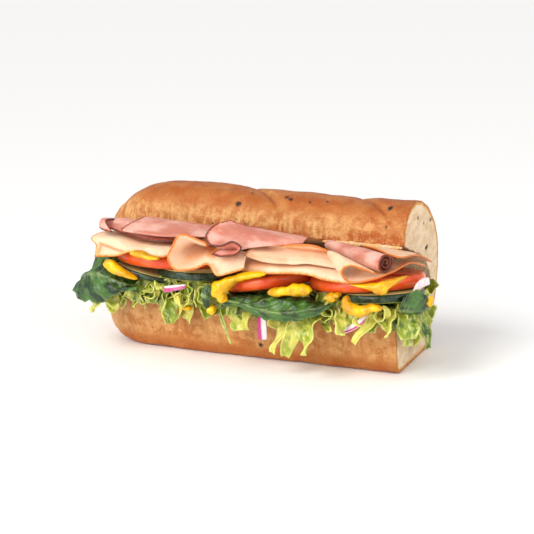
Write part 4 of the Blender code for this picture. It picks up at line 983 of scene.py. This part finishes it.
turkey = Finish("turkey_meat", 0.42, 0.4, (0.3, 0.004, (1.0, 0.5, 0.3)))
rim = turkey.uneven("rim", 1.2, 0.25)
turkey.tint = turkey.over((238, 198, 166), (232, 184, 148), turkey.patches(10, 0.35, 0.65))
turkey.coat((246, 220, 190), turkey.patches(1.6, 0.55, 0.7, (0.5, 1, 1)), 0.3)
# Painted shade in the folds and gaps
turkey.coat((204, 122, 56), turkey.mark("crease"))
turkey.coat((240, 172, 98), turkey.ranged(rim, 1.4, 0.4))
turkey.coat((206, 110, 42), turkey.ranged(rim, 0.55, 0.1))
turkey.close(turkey.patches(1.1), 0.07)

ham = Finish("ham_meat", 0.36, 0.45, (0.3, 0.003, (1.0, 0.35, 0.3)))
rim = ham.uneven("rim", 1.5, 0.2)
ham.tint = ham.over((192, 118, 98), (220, 168, 152), ham.patches(8, 0.38, 0.62, (0.45, 1, 1)))
ham.coat((230, 186, 170), ham.patches(1.8, 0.58, 0.72, (0.4, 1, 1)), 0.3)
ham.coat((194, 96, 72), ham.ranged(rim, 1.5, 0.5))
ham.coat((94, 38, 22), ham.ranged(rim, 0.6, 0.3))
# Painted shade over the inner face of the wound roll
ham.coat((132, 74, 52), ham.mark("crease"))
ham.close(ham.patches(1.0), 0.06)

for finish, slices in ((turkey, TURKEY), (ham, HAM)):
    for name, (net, along, across, rimmed) in slices.items():
        meat_piece(name, net_grid(net, along, across), rimmed, finish)
meat_piece("ham_roll", rolled_ham_grid(50, 170), (0, 1, 0, 0), ham, wound=True)

# The mustard: thick yellow sauce squeezed over the slices, sagging in runs at the front, with a few
# small drops on the greens. Each run is a wet, rounded bead: points of x, y, z, half height, half depth.
MUSTARD = {
    "mustard_left": (
        (-57, -44, 42.6, 1.4, 1.2), (-54, -45, 41.8, 2.7, 1.8), (-50.5, -45.6, 40.2, 2.3, 1.8),
        (-46, -46, 38.4, 1.6, 1.5), (-40.5, -45.6, 36.8, 0.8, 0.9),
    ),
    "mustard_upper_left": (
        (-43, -46.8, 49, 0.7, 0.8), (-39, -47, 48.8, 1.6, 1.1),
        (-34, -47, 47.9, 1.2, 0.9), (-29, -46.6, 47.4, 0.5, 0.7),
    ),
    "mustard_middle": (
        (21, -44.6, 44.6, 1.0, 1.0), (14, -45.2, 43.6, 1.5, 1.3), (7.6, -45.8, 41.6, 1.7, 1.5),
        (2.6, -46.4, 38.6, 2.6, 1.8), (-1.0, -46.8, 36, 3.0, 1.8), (0.4, -46.8, 33, 2.6, 1.6),
        (3.4, -46.8, 31.4, 1.7, 1.3),
    ),
    "mustard_right_of_middle": (
        (22, -45.4, 37, 1.0, 1.0), (26, -46, 37.2, 2.0, 1.6), (30.5, -46, 38.3, 1.9, 1.6),
        (34.5, -46, 39.2, 2.7, 1.9), (38.8, -46, 39.5, 2.6, 1.7), (42.4, -45, 39.6, 1.3, 1.1),
    ),
    "mustard_right": (
        (59, -47.4, 39.4, 1.2, 1.0), (58.8, -48, 36.4, 2.0, 1.4), (61, -48.6, 34, 2.7, 1.8),
        (65.8, -48.8, 33.5, 2.6, 1.8), (70, -48.4, 35, 1.9, 1.5), (75, -47.4, 35.2, 1.1, 1.1),
    ),
    "mustard_drop": (
        (60, -47, 44.5, 0.5, 0.7), (65.4, -47.8, 44.4, 0.8, 0.9), (70, -48.2, 44.4, 1.8, 1.3),
        (74, -48.2, 44.1, 3.2, 1.6), (77, -47.8, 45.8, 2.2, 1.4), (80.4, -45.6, 47.6, 1.2, 1.1),
        (84, -42.6, 49.2, 0.4, 0.6),
    ),
}
# Small drops: where, and half their width, depth and height
SMALL_DROPS = (
    ((-5.6, -43, 25.4), (1.7, 1.1, 2.2)), ((50.9, -44.5, 37), (2.6, 1.3, 2.0)),
    ((-18.1, -42, 24.6), (2.0, 1.1, 1.0)), ((91.2, -31, 35.4), (1.2, 1.5, 2.4)),
    ((54, -46, 38.6), (1.4, 1.0, 1.2)),
)
# A run's centre lies so much further back, and it is so much deeper, to reach the slices behind it
BEAD_BACK = 1.2


def bead(spine, rings, sides):
    """A rounded run along spine points of (x, y, z, half height, half depth)."""
    spine = np.array(spine, float) + (0, BEAD_BACK, 0, 0, BEAD_BACK)
    fine = shares(len(spine), rings) @ spine
    centre, tall, deep = fine[:, :3], fine[:, None, 3:4], fine[:, None, 4:5]
    ahead = np.gradient(centre, axis=0)
    ahead /= np.linalg.norm(ahead, axis=1, keepdims=True)
    depth = np.array([[0.0, 1.0, 0.0]]) - ahead * ahead[:, 1:2]
    depth /= np.linalg.norm(depth, axis=1, keepdims=True)
    height = np.cross(ahead, depth)
    t = np.linspace(0, 1, rings)
    taper = np.sqrt(np.clip(np.minimum(t, 1 - t) / 0.07, 0.02, 1))[:, None, None]
    turn = (math.tau * np.arange(sides) / sides)[None, :, None]
    ring = height[:, None] * tall * np.cos(turn) + depth[:, None] * deep * np.sin(turn)
    body = centre[:, None] + taper * ring
    bulge = 0.28 * roughly(body, 5.0, (8, 3, 1)) + 0.07 * roughly(body, 2.2, (1, 3, 8))
    return body + (body - centre[:, None]) * bulge[..., None]


mustard = Finish("mustard_sauce", 0.3, 0.45, (0.12, 0.002, (1.0, 0.7, 0.05)))
mustard.tint = mustard.over((200, 144, 10), (248, 190, 0), mustard.patches(7, 0.38, 0.62))
mustard.coat((206, 132, 14), mustard.patches(0.5, 0.6, 0.7), 0.35)
mustard.close(mustard.patches(0.9), 0.06)
for name, spine in MUSTARD.items():
    run = make_mesh(name + "_run", *tube(bead(spine, 70, 28)), mustard)
    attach(run, "root")
    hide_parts(name)
drops = []
for (x, y, z), (wide, deep, tall) in SMALL_DROPS:
    spine = [(x + k * wide, y, z, tall * (0.6 if k else 1), deep) for k in (-1, 0, 1)]
    drops.append((*tube(bead(spine, 24, 20)), {}))
points, faces, marks = joined(drops)
small_drops = make_mesh("mustard_small_drops", points, faces, mustard)
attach(small_drops, "root")
